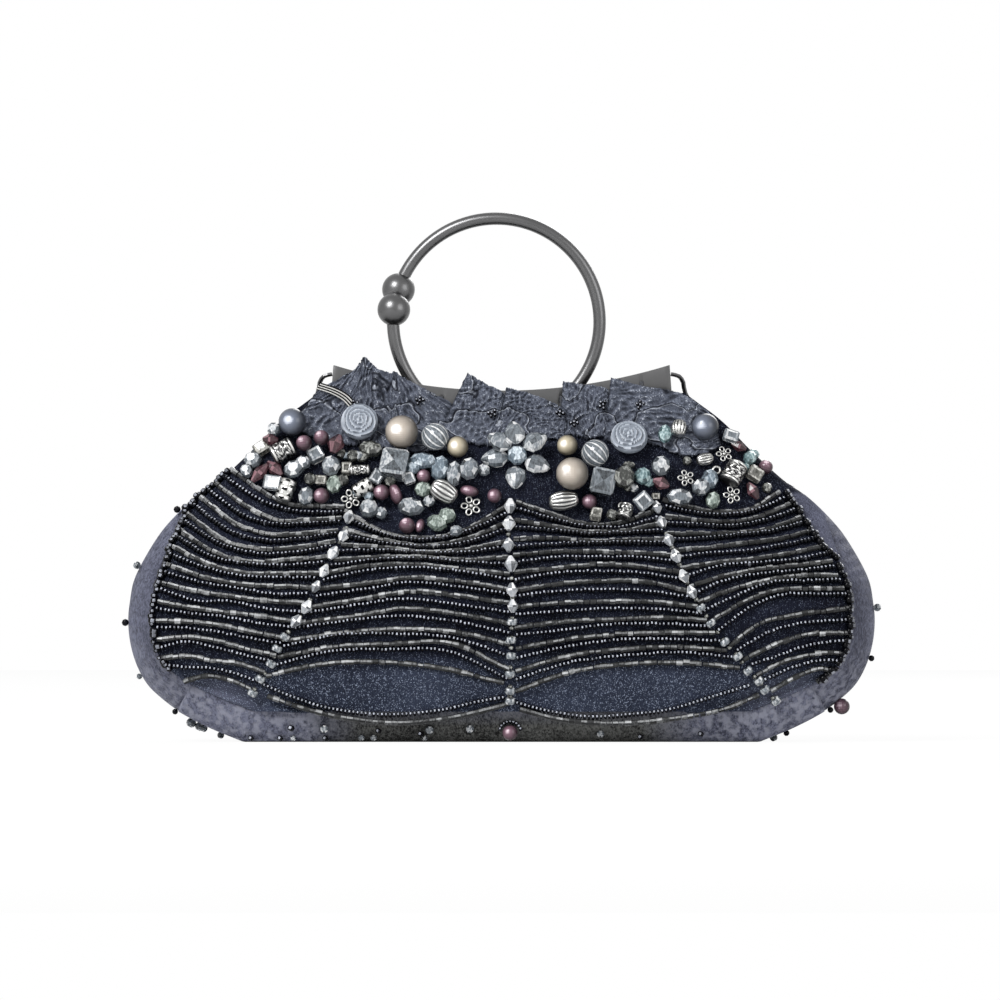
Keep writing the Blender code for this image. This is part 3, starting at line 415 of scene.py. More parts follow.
def make_board():
    board = Finish("base_board", (0.30, 0.27, 0.22), 0.9)
    fibres = board.place.noise(1200, 4)
    board.link("Base Color", fibres.mix((0.22, 0.19, 0.15), (0.38, 0.34, 0.28)))
    board.bump(fibres, 0.0001, 0.5)
    return board.material


CREPE = make_crepe()
SATIN = make_satin()
LINING_CLOTH = make_lining()
RIBBON = make_ribbon()
BOARD = make_board()
print("cloths made")

# %% [markdown]
# ## Glass and pearls
# A cut crystal shows light and dark facets side by side, because each mirrors another part of the room.
# A painted tone for each facet gives that sparkle from every side. A pearl has painted shade and a
# painted highlight: it runs from a dark rim through its own colour to a whitish highlight, under a thin
# clear coat. Seed beads are near-black glass, and bugles are grey glass with a silver lining.


# %% Glass and pearl finishes
def make_glass(name, dark, middle, light, roughness=0.05, clear=0.2, gloss=0.5, coat=0.0, streaks=0.42):
    """Glass whose facets each have a tone of painted reflection, 0 dark and 1 bright, crossed by painted
    streaks of refracted light seen inside it.
    """
    glass = Finish(name, middle, roughness, Transmission_Weight=clear, Specular_IOR_Level=gloss,
                   Coat_Weight=coat, Coat_Roughness=0.08)
    tone = glass.attribute("tone")
    streak = glass.place.scaled(1, 1, 0.45).noise(1300, 1).spread(0.3, 0.7)
    shade = ((1 - streaks) * tone + streaks * streak).spread(0.0, 1.0)
    glass.link("Base Color", shade.ramp((0.0, dark), (0.5, middle), (1.0, light)))
    return glass.material


def make_pearl(name, colour):
    """A pearl under its coat. Its tone is painted light and shade, from the dark rim to a highlight
    that turns whitish.
    """
    pearl = Finish(name, colour, 0.3, 0.0, Specular_IOR_Level=0.1, Coat_Weight=0.4, Coat_Roughness=0.08)
    clouds = pearl.place.noise(260, 2)
    tone = pearl.attribute("tone") + 0.16 * (clouds - 0.5)
    # Painted light and shade: from a dark rim through the body colour to a highlight that turns whitish.
    stops = ((0.0, 0.03), (0.25, 0.22), (0.5, 0.48), (0.8, 1.05), (0.86, 1.3), (0.95, 2.4))
    shades = [(place, [min(c * share + 0.3 * max(share - 1.3, 0), 0.95) for c in colour])
              for place, share in stops]
    pearl.link("Base Color", tone.ramp(*shades))
    return pearl.material


HEMATITE = make_glass("hematite_seed", (0.0005, 0.0005, 0.001), (0.004, 0.0045, 0.007),
                      (0.40, 0.42, 0.48), 0.15, 0.0, 0.06, 0.08, 0.1)
BUGLE = make_glass("silver_lined_bugle", (0.003, 0.003, 0.003), (0.030, 0.031, 0.032),
                   (0.46, 0.47, 0.48), 0.22, 0.0, 0.12, 0.1, 0.15)
CLEAR = make_glass("clear_crystal", (0.014, 0.017, 0.021), (0.19, 0.215, 0.24), (1.0, 1.0, 1.0),
                   streaks=0.28)
BICONE = make_glass("clear_bicone", (0.03, 0.034, 0.042), (0.36, 0.38, 0.41), (1.0, 1.0, 1.0),
                    clear=0.15, streaks=0.15)
SMOKE = make_glass("smoke_crystal", (0.004, 0.004, 0.004), (0.055, 0.058, 0.054), (0.50, 0.51, 0.48))
GREEN_GLASS = make_glass("green_crystal", (0.018, 0.028, 0.024), (0.205, 0.25, 0.222),
                         (0.84, 0.93, 0.87))
BLUE_GLASS = make_glass("blue_crystal", (0.014, 0.022, 0.032), (0.18, 0.23, 0.275), (0.86, 0.94, 1.0))
TEAL_GLASS = make_glass("teal_crystal", (0.012, 0.027, 0.031), (0.155, 0.24, 0.255),
                        (0.78, 0.93, 0.93))
MAUVE_CHIP = make_glass("mauve_chip", (0.006, 0.002, 0.003), (0.042, 0.016, 0.021), (0.24, 0.13, 0.15),
                        0.15, 0.0, 0.25, 0.4, 0.2)
IVORY_GLASS = make_glass("ivory_cube", (0.02, 0.02, 0.016), (0.20, 0.198, 0.18), (0.80, 0.79, 0.74), 0.06)
ROSE_GLASS = make_glass("frosted_rose", (0.040, 0.047, 0.062), (0.20, 0.225, 0.265), (0.56, 0.60, 0.66),
                        0.4, 0.0, 0.2, 0.15, 0.1)
CHAMPAGNE = make_pearl("champagne_pearl", (0.35, 0.31, 0.268))
GOLD = make_pearl("gold_pearl", (0.38, 0.335, 0.25))
BLUE_PEARL = make_pearl("blue_grey_pearl", (0.100, 0.113, 0.146))
MAUVE_PEARL = make_pearl("mauve_pearl", (0.128, 0.073, 0.096))
print("glass and pearls made")

# %% [markdown]
# ## The bag's shape
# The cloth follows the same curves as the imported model: a half outline, a seam inside it, and a depth
# that swells in the middle of the front. Every bead sits on that surface, so the rules are written once
# here for whole rows of places at a time.

# %% Sizes of the bag
HALF_WIDTH = 0.1398
BAG_HEIGHT = 0.141
HINGE_HEIGHT = 0.6383 * BAG_HEIGHT
OPEN_ANGLE = math.radians(25)
ANGLE_MARGIN = math.radians(3)
GAP = 0.0003
FABRIC = 0.001
LINING = 0.0006
SEAM_DEPTH = 0.030
BULGE = 0.017
SEAM_INSET = 0.0124
PLATE_HEIGHT = 0.0135
PLATE_THICKNESS = 0.0015
PLATE_SAG = 0.0096
PLATE_FLARE = 0.001
YOKE_LAP = 0.003
RING_RADIUS = 0.0387
RING_X = -0.0019
RING_TUBE = 0.00235
BALL_RADIUS = 0.00615
OUTLINE_SHARES = (
    (0.690, 0.000), (0.783, 0.038), (0.863, 0.080), (0.911, 0.115), (0.949, 0.152), (0.977, 0.202),
    (0.994, 0.259), (1.000, 0.316), (0.996, 0.369), (0.980, 0.440), (0.923, 0.541), (0.870, 0.604),
    (0.814, 0.655), (0.754, 0.695), (0.672, 0.768), (0.590, 0.850), (0.524, 0.900), (0.476, 0.935),
)
SEAM_DEPTH_SHARES = (
    (0.00, 1.00), (0.32, 1.00), (0.43, 0.90), (0.50, 0.73), (0.55, 0.50), (0.60, 0.28), (0.64, 0.20),
    (0.80, 0.25), (0.85, 0.275), (1.00, 0.275),
)
BULGE_SHARES = (
    (0.088, 0.15), (0.18, 0.36), (0.32, 0.53), (0.43, 0.65), (0.51, 0.80), (0.57, 0.90), (0.64, 1.00),
    (0.71, 0.92), (0.78, 0.52), (0.83, 0.16), (0.87, 0.02), (1.00, 0.00),
)
MOUTH_DEPTH_SHARES = ((0.00, 0.00), (0.72, 0.42), (0.80, 0.84), (0.85, 0.99), (0.90, 1.00), (1.00, 1.00))
SEAM_INSET_SHARES = (
    (0.00, 1.00), (0.06, 0.95), (0.12, 0.87), (0.20, 0.79), (0.32, 0.76), (0.43, 0.68), (0.54, 0.45),
    (0.60, 0.15), (0.64, 0.03), (1.00, 0.00),
)
PLATE_INNER = 2 * RING_TUBE + 2 * GAP
PLATE_FACE = PLATE_INNER + PLATE_THICKNESS
PLATE_END_INSET = 0.00355
PLATE_ROOM = 0.0004
RING_DROP = 0.0128
RING_Z = BAG_HEIGHT - PLATE_SAG - RING_DROP + RING_RADIUS
SEAM_MARGIN = 0.995
SIGHT_ROUNDS = 16
SIGHT_STEP = 0.7
HALVES = (("front", -1), ("rear", 1))


# %% Rules of the bag's surface
def curve_through(points, steps=8):
    """A smooth open curve through the points."""
    given = np.array(points, float)
    ends = np.vstack([2 * given[0] - given[1], given, 2 * given[-1] - given[-2]])
    places = []
    for start in range(len(given) - 1):
        before, here, there, after = ends[start : start + 4]
        for t in np.arange(steps) / steps:
            square = 2 * before - 5 * here + 4 * there - after
            cube = 3 * here - before - 3 * there + after
            places.append(0.5 * (2 * here + (there - before) * t + square * t**2 + cube * t**3))
    places.append(given[-1])
    return np.array(places)


SMOOTHED = {}


def share_at(table, height):
    """A share that changes smoothly up the bag's height."""
    if table not in SMOOTHED:
        SMOOTHED[table] = curve_through(table)
    curve = SMOOTHED[table]
    return np.interp(np.asarray(height) / BAG_HEIGHT, curve[:, 0], curve[:, 1])


def unit(vectors):
    """The same directions, each with a length of 1."""
    return vectors / np.linalg.norm(vectors, axis=-1, keepdims=True)


def reach_of(line):
    """How far each point of a line lies along it."""
    return np.concatenate([[0], np.cumsum(np.linalg.norm(np.diff(line, axis=0), axis=1))])


def columns_at(where, reach, line):
    """What the columns of a line are at other distances along it."""
    return np.column_stack([np.interp(where, reach, column) for column in np.transpose(line)])


def line_normals(line):
    """The outward directions of a line that ends up the bag's right side."""
    slopes = np.gradient(line, axis=0)
    return unit(np.column_stack([slopes[:, 1], -slopes[:, 0]]))


OUTLINE = curve_through([(x * HALF_WIDTH, z * BAG_HEIGHT) for x, z in OUTLINE_SHARES])
OUTLINE_NORMALS = line_normals(OUTLINE)
SEAM = OUTLINE - OUTLINE_NORMALS * (SEAM_INSET * share_at(SEAM_INSET_SHARES, OUTLINE[:, 1]))[:, None]
SEAM_FOOT = SEAM[0, 1]
PLATE_HALF_LENGTH = OUTLINE[-1, 0] - PLATE_END_INSET


def outline_width(height):
    return np.interp(height, OUTLINE[:, 1], OUTLINE[:, 0])


def seam_width(height):
    return np.interp(height, SEAM[:, 1], SEAM[:, 0])


def seam_depth(height):
    room = (PLATE_FACE + FABRIC + PLATE_ROOM) * share_at(MOUTH_DEPTH_SHARES, height)
    return np.maximum(SEAM_DEPTH * share_at(SEAM_DEPTH_SHARES, height), room)


def panel_depth(x, z):
    """How far the outer face of the front or rear cloth stands from the middle plane."""
    height = np.maximum(z, SEAM_FOOT)
    across = np.minimum(np.abs(x) / seam_width(height), 1.0)
    return seam_depth(height) + BULGE * share_at(BULGE_SHARES, height) * np.sqrt(1 - across**2)


def panel_normal(x, z):
    """The outward direction of the front cloth."""
    reach = 2 * FABRIC
    slope_x = (panel_depth(x + reach, z) - panel_depth(x - reach, z)) / (2 * reach)
    slope_z = (panel_depth(x, z + reach) - panel_depth(x, z - reach)) / (2 * reach)
    return unit(np.stack([-slope_x, -np.ones_like(slope_x), -slope_z], axis=-1))


def frame_edge(x, drop):
    """The height of the plates' sagging top edge, or of a line this far below it."""
    reach = np.minimum(np.abs(x) / PLATE_HALF_LENGTH, 1.0)
    return BAG_HEIGHT - PLATE_SAG * (1 - reach**2) - drop


def on_front(x, z, lift):
    """Places that stand off the front cloth. Below the seam they hang straight down from it."""
    place = np.stack([x, -panel_depth(x, z), z], axis=-1)
    outward = np.where((z < SEAM_FOOT)[..., None], np.array([0.0, -1.0, 0.0]), panel_normal(x, z))
    return place + outward * np.asarray(lift)[..., None], outward


def at_pixels(px, py, near=1.0):
    """Where these pixels lie on the bag's middle plane. Less than 1 is nearer to the camera."""
    return CENTRE_X + (px - MIDDLE_PIXEL) * PIXEL * near, CENTRE_Z + (MIDDLE_PIXEL - py) * PIXEL * near


def seen_at(px, py, lift):
    """Places over the front cloth that the camera sees at these pixels, and the cloth's normals."""
    px, py = np.atleast_1d(px).astype(float), np.atleast_1d(py).astype(float)
    x, z = at_pixels(px, py)
    for _ in range(SIGHT_ROUNDS):
        limit = seam_width(np.maximum(z, SEAM_FOOT)) * SEAM_MARGIN
        x = np.clip(x, -limit, limit)
        place, outward = on_front(x, z, lift)
        wanted_x, wanted_z = at_pixels(px, py, (CAMERA_REACH + place[:, 1]) / CAMERA_REACH)
        x = x + SIGHT_STEP * (wanted_x - place[:, 0])
        z = z + SIGHT_STEP * (wanted_z - place[:, 2])
    return place, outward


print("seam foot", round(float(SEAM_FOOT), 4), "plate half length", round(float(PLATE_HALF_LENGTH), 4))

# %% [markdown]
# ## Cloth sheets
# Each cloth starts as a flat grid. A rule carries every point of the grid to its place on the bag, and a
# wall thickness then makes it a closed sheet. A lofted shell like this keeps the exact seams that the
# beads and the frame need, which a draped simulation would let slip.

# %% Sheet helper
INSIDE = Vector((0.0, 0.0, 0.07))
# Shares of a sheet over which its tone falls to 0 at the sides and the foot, for painted shade
SIDE_SHADE = 0.05
FOOT_SHADE = 0.06
RIDGE_REACH = 6
CLOTH_ANGLE = 70
CUT_AREA = {}


def points_of(mesh):
    flat = np.empty(len(mesh.vertices) * 3)
    mesh.vertices.foreach_get("co", flat)
    return flat.reshape(-1, 3)


def set_points(mesh, points):
    mesh.vertices.foreach_set("co", np.asarray(points, float).ravel())
    mesh.update()


def add_modifier(piece, kind, **settings):
    """Adds a modifier with its settings and applies it at once."""
    pick(piece)
    made = piece.modifiers.new(kind.lower(), kind)
    for name, setting in settings.items():
        setattr(made, name, setting)
    bpy.ops.object.modifier_apply(modifier=made.name)


def dress(piece, material, angle=60):
    """Gives a finished piece its material and its smooth shading."""
    pick(piece)
    bpy.ops.object.shade_smooth_by_angle(angle=math.radians(angle))
    piece.data.materials.clear()
    piece.data.materials.append(material)


def ridge_tone(points, columns, rows):
    """How far each point of a grid stands out from those round it: 0 in a hollow and 1 on a ridge."""
    depth = -points[:, 1].reshape(rows + 1, columns + 1)
    padded = np.pad(depth, RIDGE_REACH, mode="edge")
    shifts = range(0, 2 * RIDGE_REACH + 1, 2)
    around = [padded[down : down + rows + 1, aside : aside + columns + 1]
              for down in shifts for aside in shifts]
    stand = depth - np.mean(around, axis=0)
    return np.clip(0.5 + stand / (4 * stand.std()), 0, 1).ravel()


def sew_sheet(name, columns, rows, rule, thickness):
    """A grid whose points a rule places, from -1 to 1 across and from 0 to 1 up, with a wall inwards.

    Its tone says how far each point stands out, and falls to 0 at the sides and the foot. The ribbon
    paints its shade and highlights from that tone.
    """
    sheet = new_primitive("grid", x_subdivisions=columns, y_subdivisions=rows, size=2)
    sheet.name = name
    flat = points_of(sheet.data)
    placed = rule(flat[:, 0], (flat[:, 1] + 1) / 2)
    set_points(sheet.data, placed)
    ridges = sheet.data.attributes.new("tone", "FLOAT", "POINT")
    edge = np.minimum((1 - np.abs(flat[:, 0])) / SIDE_SHADE, (1 + flat[:, 1]) / FOOT_SHADE)
    ridges.data.foreach_set("value", ridge_tone(placed, columns, rows) * np.clip(edge, 0, 1))
    if sum((face.center - INSIDE).dot(face.normal) * face.area for face in sheet.data.polygons) < 0:
        sheet.data.flip_normals()
    CUT_AREA[name] = sum(face.area for face in sheet.data.polygons)
    add_modifier(sheet, "SOLIDIFY", thickness=thickness, offset=-1.0)
    return sheet


# %% [markdown]
# ## Front and rear panels
# Each side is one piece of crepe, from the bottom seam up to the frame plate. It crosses the hinge line.

# %% Bead borders, in pixels
BORDERS = {
    "left": ((227, 470), (205, 490), (190, 505), (178, 530), (171, 544), (166, 558), (160, 574),
             (154.5, 596), (150.5, 616), (149, 631.5), (153, 650), (160, 663), (171, 668)),
    "right": ((784, 492), (800, 512), (812, 532), (823, 545), (834, 556), (842, 572), (852, 596),
              (855, 610), (858, 620), (858, 639), (854, 660.5), (847, 673), (839, 682)),
}
BORDER_BLUR = 0.0008


def beyond_border(points):
    """1 where the cloth lies outside the bead border, where it looks like the side band, else 0."""
    beyond = np.zeros(len(points))
    for line in BORDERS.values():
        x, z = at_pixels(*curve_through(line).T)
        edge = np.interp(points[:, 2], z[::-1], x[::-1])
        past = (points[:, 0] - edge) * math.copysign(1, x[0]) / BORDER_BLUR
        within = (points[:, 2] > z.min()) * (points[:, 2] < z.max())
        beyond = np.maximum(beyond, np.clip(past, 0, 1) * within)
    return beyond


# %% Front and rear panels
CREASE_FOOT = (0.070, 0.0135)
CREASE_HEAD = (0.118, 0.0250)
CREASE_DEPTH = 0.0016
CREASE_WIDTH = 0.0014
RIPPLE = 0.00025
EDGE_ROUNDS = 12


def crossing(piece, half):
    """Bakes the place of a cloth or of the beads sewn to it into its mesh.

    The half is not used.
    """
    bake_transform(piece)


def panel_rule(side, inset, low, drop, reach=1.0):
    """The rule of a panel: side -1 is the front. It lies inset from the outer face."""

    def rule(across, up):
        across = np.sin(across * math.pi / 2) * reach
        top = np.full_like(across, BAG_HEIGHT)
        for _ in range(EDGE_ROUNDS):
            top = frame_edge(across * seam_width(top), drop)
        z = low + (top - low) * up
        x = across * (seam_width(z) + GAP)
        wave = RIPPLE * np.sin(z * 420 + 3 * np.sin(x * 60)) * (1 - across**2)
        share = (np.abs(x) - CREASE_FOOT[0]) / (CREASE_HEAD[0] - CREASE_FOOT[0])
        crease = z - (CREASE_FOOT[1] + (CREASE_HEAD[1] - CREASE_FOOT[1]) * share**2)
        in_corner = (share > 0) * (share < 1)
        wave = wave - CREASE_DEPTH * np.exp(-((crease / CREASE_WIDTH) ** 2)) * in_corner
        return np.column_stack([x, side * (panel_depth(x, z) - inset + wave), z])

    return rule


for end, side in HALVES:
    rule = panel_rule(side, 0, SEAM_FOOT, PLATE_HEIGHT - YOKE_LAP)
    panel = sew_sheet(end + "_crepe", 110, 84, rule, FABRIC)
    beyond = panel.data.attributes.new("beyond", "FLOAT", "POINT")
    beyond.data.foreach_set("value", beyond_border(points_of(panel.data)))
    dress(panel, CREPE, CLOTH_ANGLE)
    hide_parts(end + "_panel", end + "_fold", end + "_yoke")
    crossing(panel, end + "_half")
    end + "_frame_plate"
    print(panel.name, round(CUT_AREA[panel.name] * 1e4), "square centimetres")

# %% [markdown]
# ## Side band
# A long strip of satin runs from one shoulder round the base to the other and joins the two panels. It
# is flat under the base and rolls up to meet the seams. Near the seams it is gathered, so soft creases
# run across it there.

# %% Side band
BASE_FLAT_SHARE = 0.70
SIDE_FLAT_SHARE = 0.25
TONGUE_HALF_WIDTH = 0.002
TONGUE_RISE = 0.0025
GUSSET_ROLL = 1.8
CREASE = 0.0006
CREASE_FROM = 0.004
BAND_STEPS = 1600


def band_rule(along, up):
    """Carries the strip round the outline, and rolls its two edges in to the seams."""
    height = HINGE_HEIGHT + TONGUE_RISE
    right = np.vstack([OUTLINE[OUTLINE[:, 1] < height], [outline_width(height), height]])
    way_round = np.vstack([right[::-1] * (-1, 1), right])
    reach = reach_of(way_round)
    path = columns_at(np.linspace(0, reach[-1], BAND_STEPS + 1), reach, way_round)
    normals = line_normals(path)
    index = np.round((along + 1) / 2 * BAND_STEPS).astype(int)
    x, z = path[index, 0], path[index, 1]
    across = 1 - 2 * up
    flat = np.where(z < SEAM_FOOT, BASE_FLAT_SHARE, SIDE_FLAT_SHARE)
    roll = np.maximum(np.abs(across) - flat, 0) / (1 - flat)
    free = (HINGE_HEIGHT - z) / math.tan(OPEN_ANGLE + ANGLE_MARGIN) - GAP
    half_width = np.maximum(np.minimum(seam_depth(z) - 2 * GAP, free), TONGUE_HALF_WIDTH)
    fullness = np.minimum(half_width / seam_depth(z), 1.0)
    inset = SEAM_INSET * share_at(SEAM_INSET_SHARES, z) * roll**GUSSET_ROLL * fullness
    crease = np.sin(along * 260 + 4 * np.sin(along * 23) + 2.5 * across)
    inset = inset + CREASE * (0.5 + 0.5 * crease) * roll * (1 - roll) * 4 * (z > CREASE_FROM)
    return np.column_stack(
        [x - normals[index, 0] * inset, across * half_width, z - normals[index, 1] * inset]
    )


band = sew_sheet("side_band", 400, 32, band_rule, FABRIC)
dress(band, SATIN, CLOTH_ANGLE)
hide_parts("gusset")
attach(band, "bag")
print("side band", round(CUT_AREA[band.name] * 1e4), "square centimetres")

# %% [markdown]
# ## Linings
# Inside, a thin satin pouch lies on the base board, and a lining sheet covers the back of each panel up
# to the plate.

# %% Linings
LINING_INSET = 0.0020
RIM_DIP_REACH = 2.2
EYE_RADIUS = 0.0026
BOARD_THICKNESS = 0.0016
POUCH_FLOOR = 0.3
POUCH_ROUNDNESS = 0.75
SHEET_INSET = 0.0012
SHEET_FOOT = 0.056
SHEET_REACH = 0.93
SHEET_WALL = 0.0004
RIM_CUT = 0.005
FLOOR_HEIGHT = FABRIC + BOARD_THICKNESS + 3 * GAP
RIM_TOP = HINGE_HEIGHT - 3 * EYE_RADIUS
RIM_DIP = panel_depth(0.0, HINGE_HEIGHT) * math.tan(OPEN_ANGLE + ANGLE_MARGIN) - EYE_RADIUS


def shape_pouch(points):
    """A bowl on the board: squared in plan, its rim dipping at the front and rear."""
    out = np.arccos(np.clip(-points[:, 2], -1, 1)) / QUARTER
    up = np.maximum(out - POUCH_FLOOR, 0) / (1 - POUCH_FLOOR)
    spread = np.minimum(out / POUCH_FLOOR, 1.0)
    turn = np.arctan2(points[:, 1], points[:, 0])
    across = np.copysign(np.abs(np.cos(turn)) ** POUCH_ROUNDNESS, np.cos(turn))
    deep = np.copysign(np.abs(np.sin(turn)) ** POUCH_ROUNDNESS, np.sin(turn))
    rim = RIM_TOP - RIM_DIP * np.minimum(RIM_DIP_REACH * np.abs(deep), 1.0) ** 2
    z = FLOOR_HEIGHT + (rim - FLOOR_HEIGHT) * up
    width = np.minimum(seam_width(np.maximum(z, SEAM_FOOT)), seam_width(RIM_TOP) + (rim - z))
    width = width - 2 * LINING_INSET
    foot = 1 - 0.25 * (1 - up) ** 6
    depth = panel_depth(np.zeros_like(z), z) - LINING_INSET
    return np.column_stack([across * width * spread * foot, deep * depth * spread * foot, z])


pouch = new_primitive("uv_sphere", segments=72, ring_count=48, radius=1)
pouch.name = "lining_bowl"
edit_all()
bpy.ops.mesh.bisect(plane_co=(0, 0, RIM_CUT), plane_no=(0, 0, 1), clear_outer=True)
bpy.ops.object.mode_set(mode="OBJECT")
set_points(pouch.data, shape_pouch(points_of(pouch.data)))
CUT_AREA["lining_bowl"] = sum(face.area for face in pouch.data.polygons)
add_modifier(pouch, "SOLIDIFY", thickness=LINING, offset=-1.0)
dress(pouch, LINING_CLOTH, CLOTH_ANGLE)
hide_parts("lining_pouch")
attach(pouch, "bag")
for end, side in HALVES:
    rule = panel_rule(side, SHEET_INSET, SHEET_FOOT, PLATE_HEIGHT + 2 * GAP, SHEET_REACH)
    sheet = sew_sheet(end + "_lining_sheet", 48, 30, rule, SHEET_WALL)
    dress(sheet, LINING_CLOTH, CLOTH_ANGLE)
    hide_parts(end + "_yoke_lining")
    crossing(sheet, end + "_half")
    end + "_frame_plate"
print("linings made")

# %% [markdown]
# ## Frame plates
# Two bow-shaped strips of metal hold the mouth open and shut. Their top edge sags in the middle, their
# ends flare, and a row of small slots takes the sewing thread. Each strip is a fine grid with a wall, a
# Boolean cuts the slots, and a narrow bevel catches the light along every edge.

# %% Frame plates
SLOT_SHARES = np.linspace(-0.8333, 0.8333, 8)
SLOT_DROP = 0.0047
SLOT_RADIUS = 0.00075
SLOT_STRETCH = 1.7
SLOT_TOOL_LENGTH = 0.006
PLATE_BEVEL = 0.0002

for end, side in HALVES:

    def plate_rule(across, up):
        x = across * (PLATE_HALF_LENGTH + PLATE_FLARE * (1 - up))
        z = frame_edge(across * PLATE_HALF_LENGTH, PLATE_HEIGHT * (1 - up))
        return np.column_stack([x, np.full_like(x, side * PLATE_FACE), z])

    plate = sew_sheet(end + "_plate", 64, 2, plate_rule, PLATE_THICKNESS)
    for x in SLOT_SHARES * PLATE_HALF_LENGTH:
        spot = (x, side * (PLATE_FACE - PLATE_THICKNESS / 2), float(frame_edge(x, SLOT_DROP)))
        slot_tool = new_primitive("cylinder", vertices=16, radius=SLOT_RADIUS, depth=SLOT_TOOL_LENGTH,
                                  location=spot, rotation=(QUARTER, 0, 0))
        slot_tool.scale.y = SLOT_STRETCH
        add_modifier(plate, "BOOLEAN", operation="DIFFERENCE", object=slot_tool)
        bpy.data.objects.remove(slot_tool)
    add_modifier(plate, "BEVEL", width=PLATE_BEVEL, segments=2, limit_method="ANGLE", angle_limit=0.8)
    dress(plate, GUNMETAL, 30)
    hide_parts(end + "_frame_plate")
    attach(plate, end + "_half")
    print(plate.name, len(plate.data.polygons), "faces")

# %% [markdown]
# ## Split ring and clasp balls
# The handle is a ring cut in two. One part and the lower ball belong to the front plate, the other part
# and the upper ball to the rear plate, and the two balls click past each other. Each part is a rod that
# leans from its plate to the side of its ball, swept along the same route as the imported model.

# %% Split ring and clasp balls
FRONT_BALL_ANGLE = math.radians(173.4)
REAR_BALL_ANGLE = math.radians(161.8)
RING_ENDS = {
    "front": (FRONT_BALL_ANGLE, math.radians(250)),
    "rear": (REAR_BALL_ANGLE, math.radians(-70)),
}
BALL_SPREAD = RING_RADIUS * math.sin((FRONT_BALL_ANGLE - REAR_BALL_ANGLE) / 2)
BALL_ROOM = 0.00015
BALL_OFFSET = math.sqrt((BALL_RADIUS + BALL_ROOM) ** 2 - BALL_SPREAD**2)
BALL_SEAT = 0.6
RING_STEPS = 96


def rod(name, points, radius, resolution):
    """A closed round rod along the points."""
    curve = bpy.data.curves.new(name, "CURVE")
    curve.dimensions = "3D"
    curve.bevel_depth = radius
    curve.bevel_resolution = resolution
    curve.use_fill_caps = True
    line = curve.splines.new("POLY")
    line.points.add(len(points) - 1)
    for stop, point in zip(line.points, points):
        stop.co = (*point, 1)
        stop.radius = 1.0
    made = bpy.data.objects.new(name, curve)
    bpy.context.collection.objects.link(made)
    pick(made)
    bpy.ops.object.convert(target="MESH")
    edit_all()
    bpy.ops.mesh.remove_doubles(threshold=0.00001)
    bpy.ops.mesh.normals_make_consistent(inside=False)
    bpy.ops.object.mode_set(mode="OBJECT")
    return bpy.context.object


def ring_point(angle, depth):
    return (RING_X + RING_RADIUS * math.cos(angle), depth, RING_Z + RING_RADIUS * math.sin(angle))


for end, side in HALVES:
    ball_angle, arc_end = RING_ENDS[end]
    arc_start = ball_angle + math.copysign(BALL_SEAT * BALL_RADIUS / RING_RADIUS, arc_end - ball_angle)
    flat = PLATE_INNER - GAP - RING_TUBE
    route = []
    for share in np.linspace(0, 1, RING_STEPS):
        lean = math.cos(min(2 * share, 1.0) * QUARTER) ** 2
        depth = side * (flat + (BALL_OFFSET - flat) * lean)
        route.append(ring_point(arc_start + (arc_end - arc_start) * share, depth))
    arc = rod(end + "_ring_part", route, RING_TUBE, 6)
    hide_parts(end + "_handle_arc")
    ball = new_primitive("uv_sphere", segments=48, ring_count=32, radius=BALL_RADIUS,
                         location=ring_point(ball_angle, side * BALL_OFFSET))
    ball.name = end + "_ball"
    bpy.ops.object.transform_apply(location=True, rotation=True, scale=True)
    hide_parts(end + "_clasp_ball")
    for piece in (arc, ball):
        dress(piece, GUNMETAL)
        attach(piece, end + "_half")
print("ring and balls made")

# %% [markdown]
# ## Bead patterns
# There are a few thousand small beads, and only eight small shapes among them. Each shape is modelled
# once, at unit size, with few faces, and then copied along its thread into one mesh for each kind. In
# the pattern X runs along the thread and Z points away from the cloth.

# %% Bead pattern helpers
PATTERNS = {}
dice = np.random.default_rng(7)


def pick_faces(piece, rule):
    """Selects the faces that the rule names by their centre and normal, and enters edit mode."""
    bpy.ops.object.mode_set(mode="EDIT")
    bpy.ops.mesh.select_mode(type="FACE")
    bpy.ops.mesh.select_all(action="DESELECT")
    bpy.ops.object.mode_set(mode="OBJECT")
    for face in piece.data.polygons:
        face.select = bool(rule(face.center, face.normal))
    bpy.ops.object.mode_set(mode="EDIT")


def keep_pattern(name, tone_rule, smooth, in_order=True):
    """Stores the modelled bead and removes its object. The tone rule gives each face its shade.

    Blender lists the faces of a sphere or an extruded shape in another order on each run. Sorted by
    their centres, they get the same random tones every time.
    """
    bpy.ops.object.mode_set(mode="OBJECT")
    piece = bpy.context.object
    bpy.ops.object.transform_apply(location=True, rotation=True, scale=True)
    faces = list(piece.data.polygons)
    tones = [tone_rule(face.center, face.normal) for face in faces]
    if not in_order:
        faces.sort(key=lambda face: [round(part, 4) for part in face.center])
    PATTERNS[name] = {
        "points": points_of(piece.data),
        "faces": [tuple(face.vertices) for face in faces],
        "tones": np.array([tones[face.index] for face in faces], float),
        "smooth": smooth,
    }
    bpy.data.objects.remove(piece)
    print(name, len(PATTERNS[name]["faces"]), "faces")


def facet_tone(centre, normal):
    """A lively mix of light and dark facets, the same each time."""
    wave = math.sin(9.7 * normal.x + 15.1 * normal.y + 21.3 * normal.z) * 43.7
    return 0.10 + 0.90 * (abs(wave - round(wave)) * 2) ** 1.3


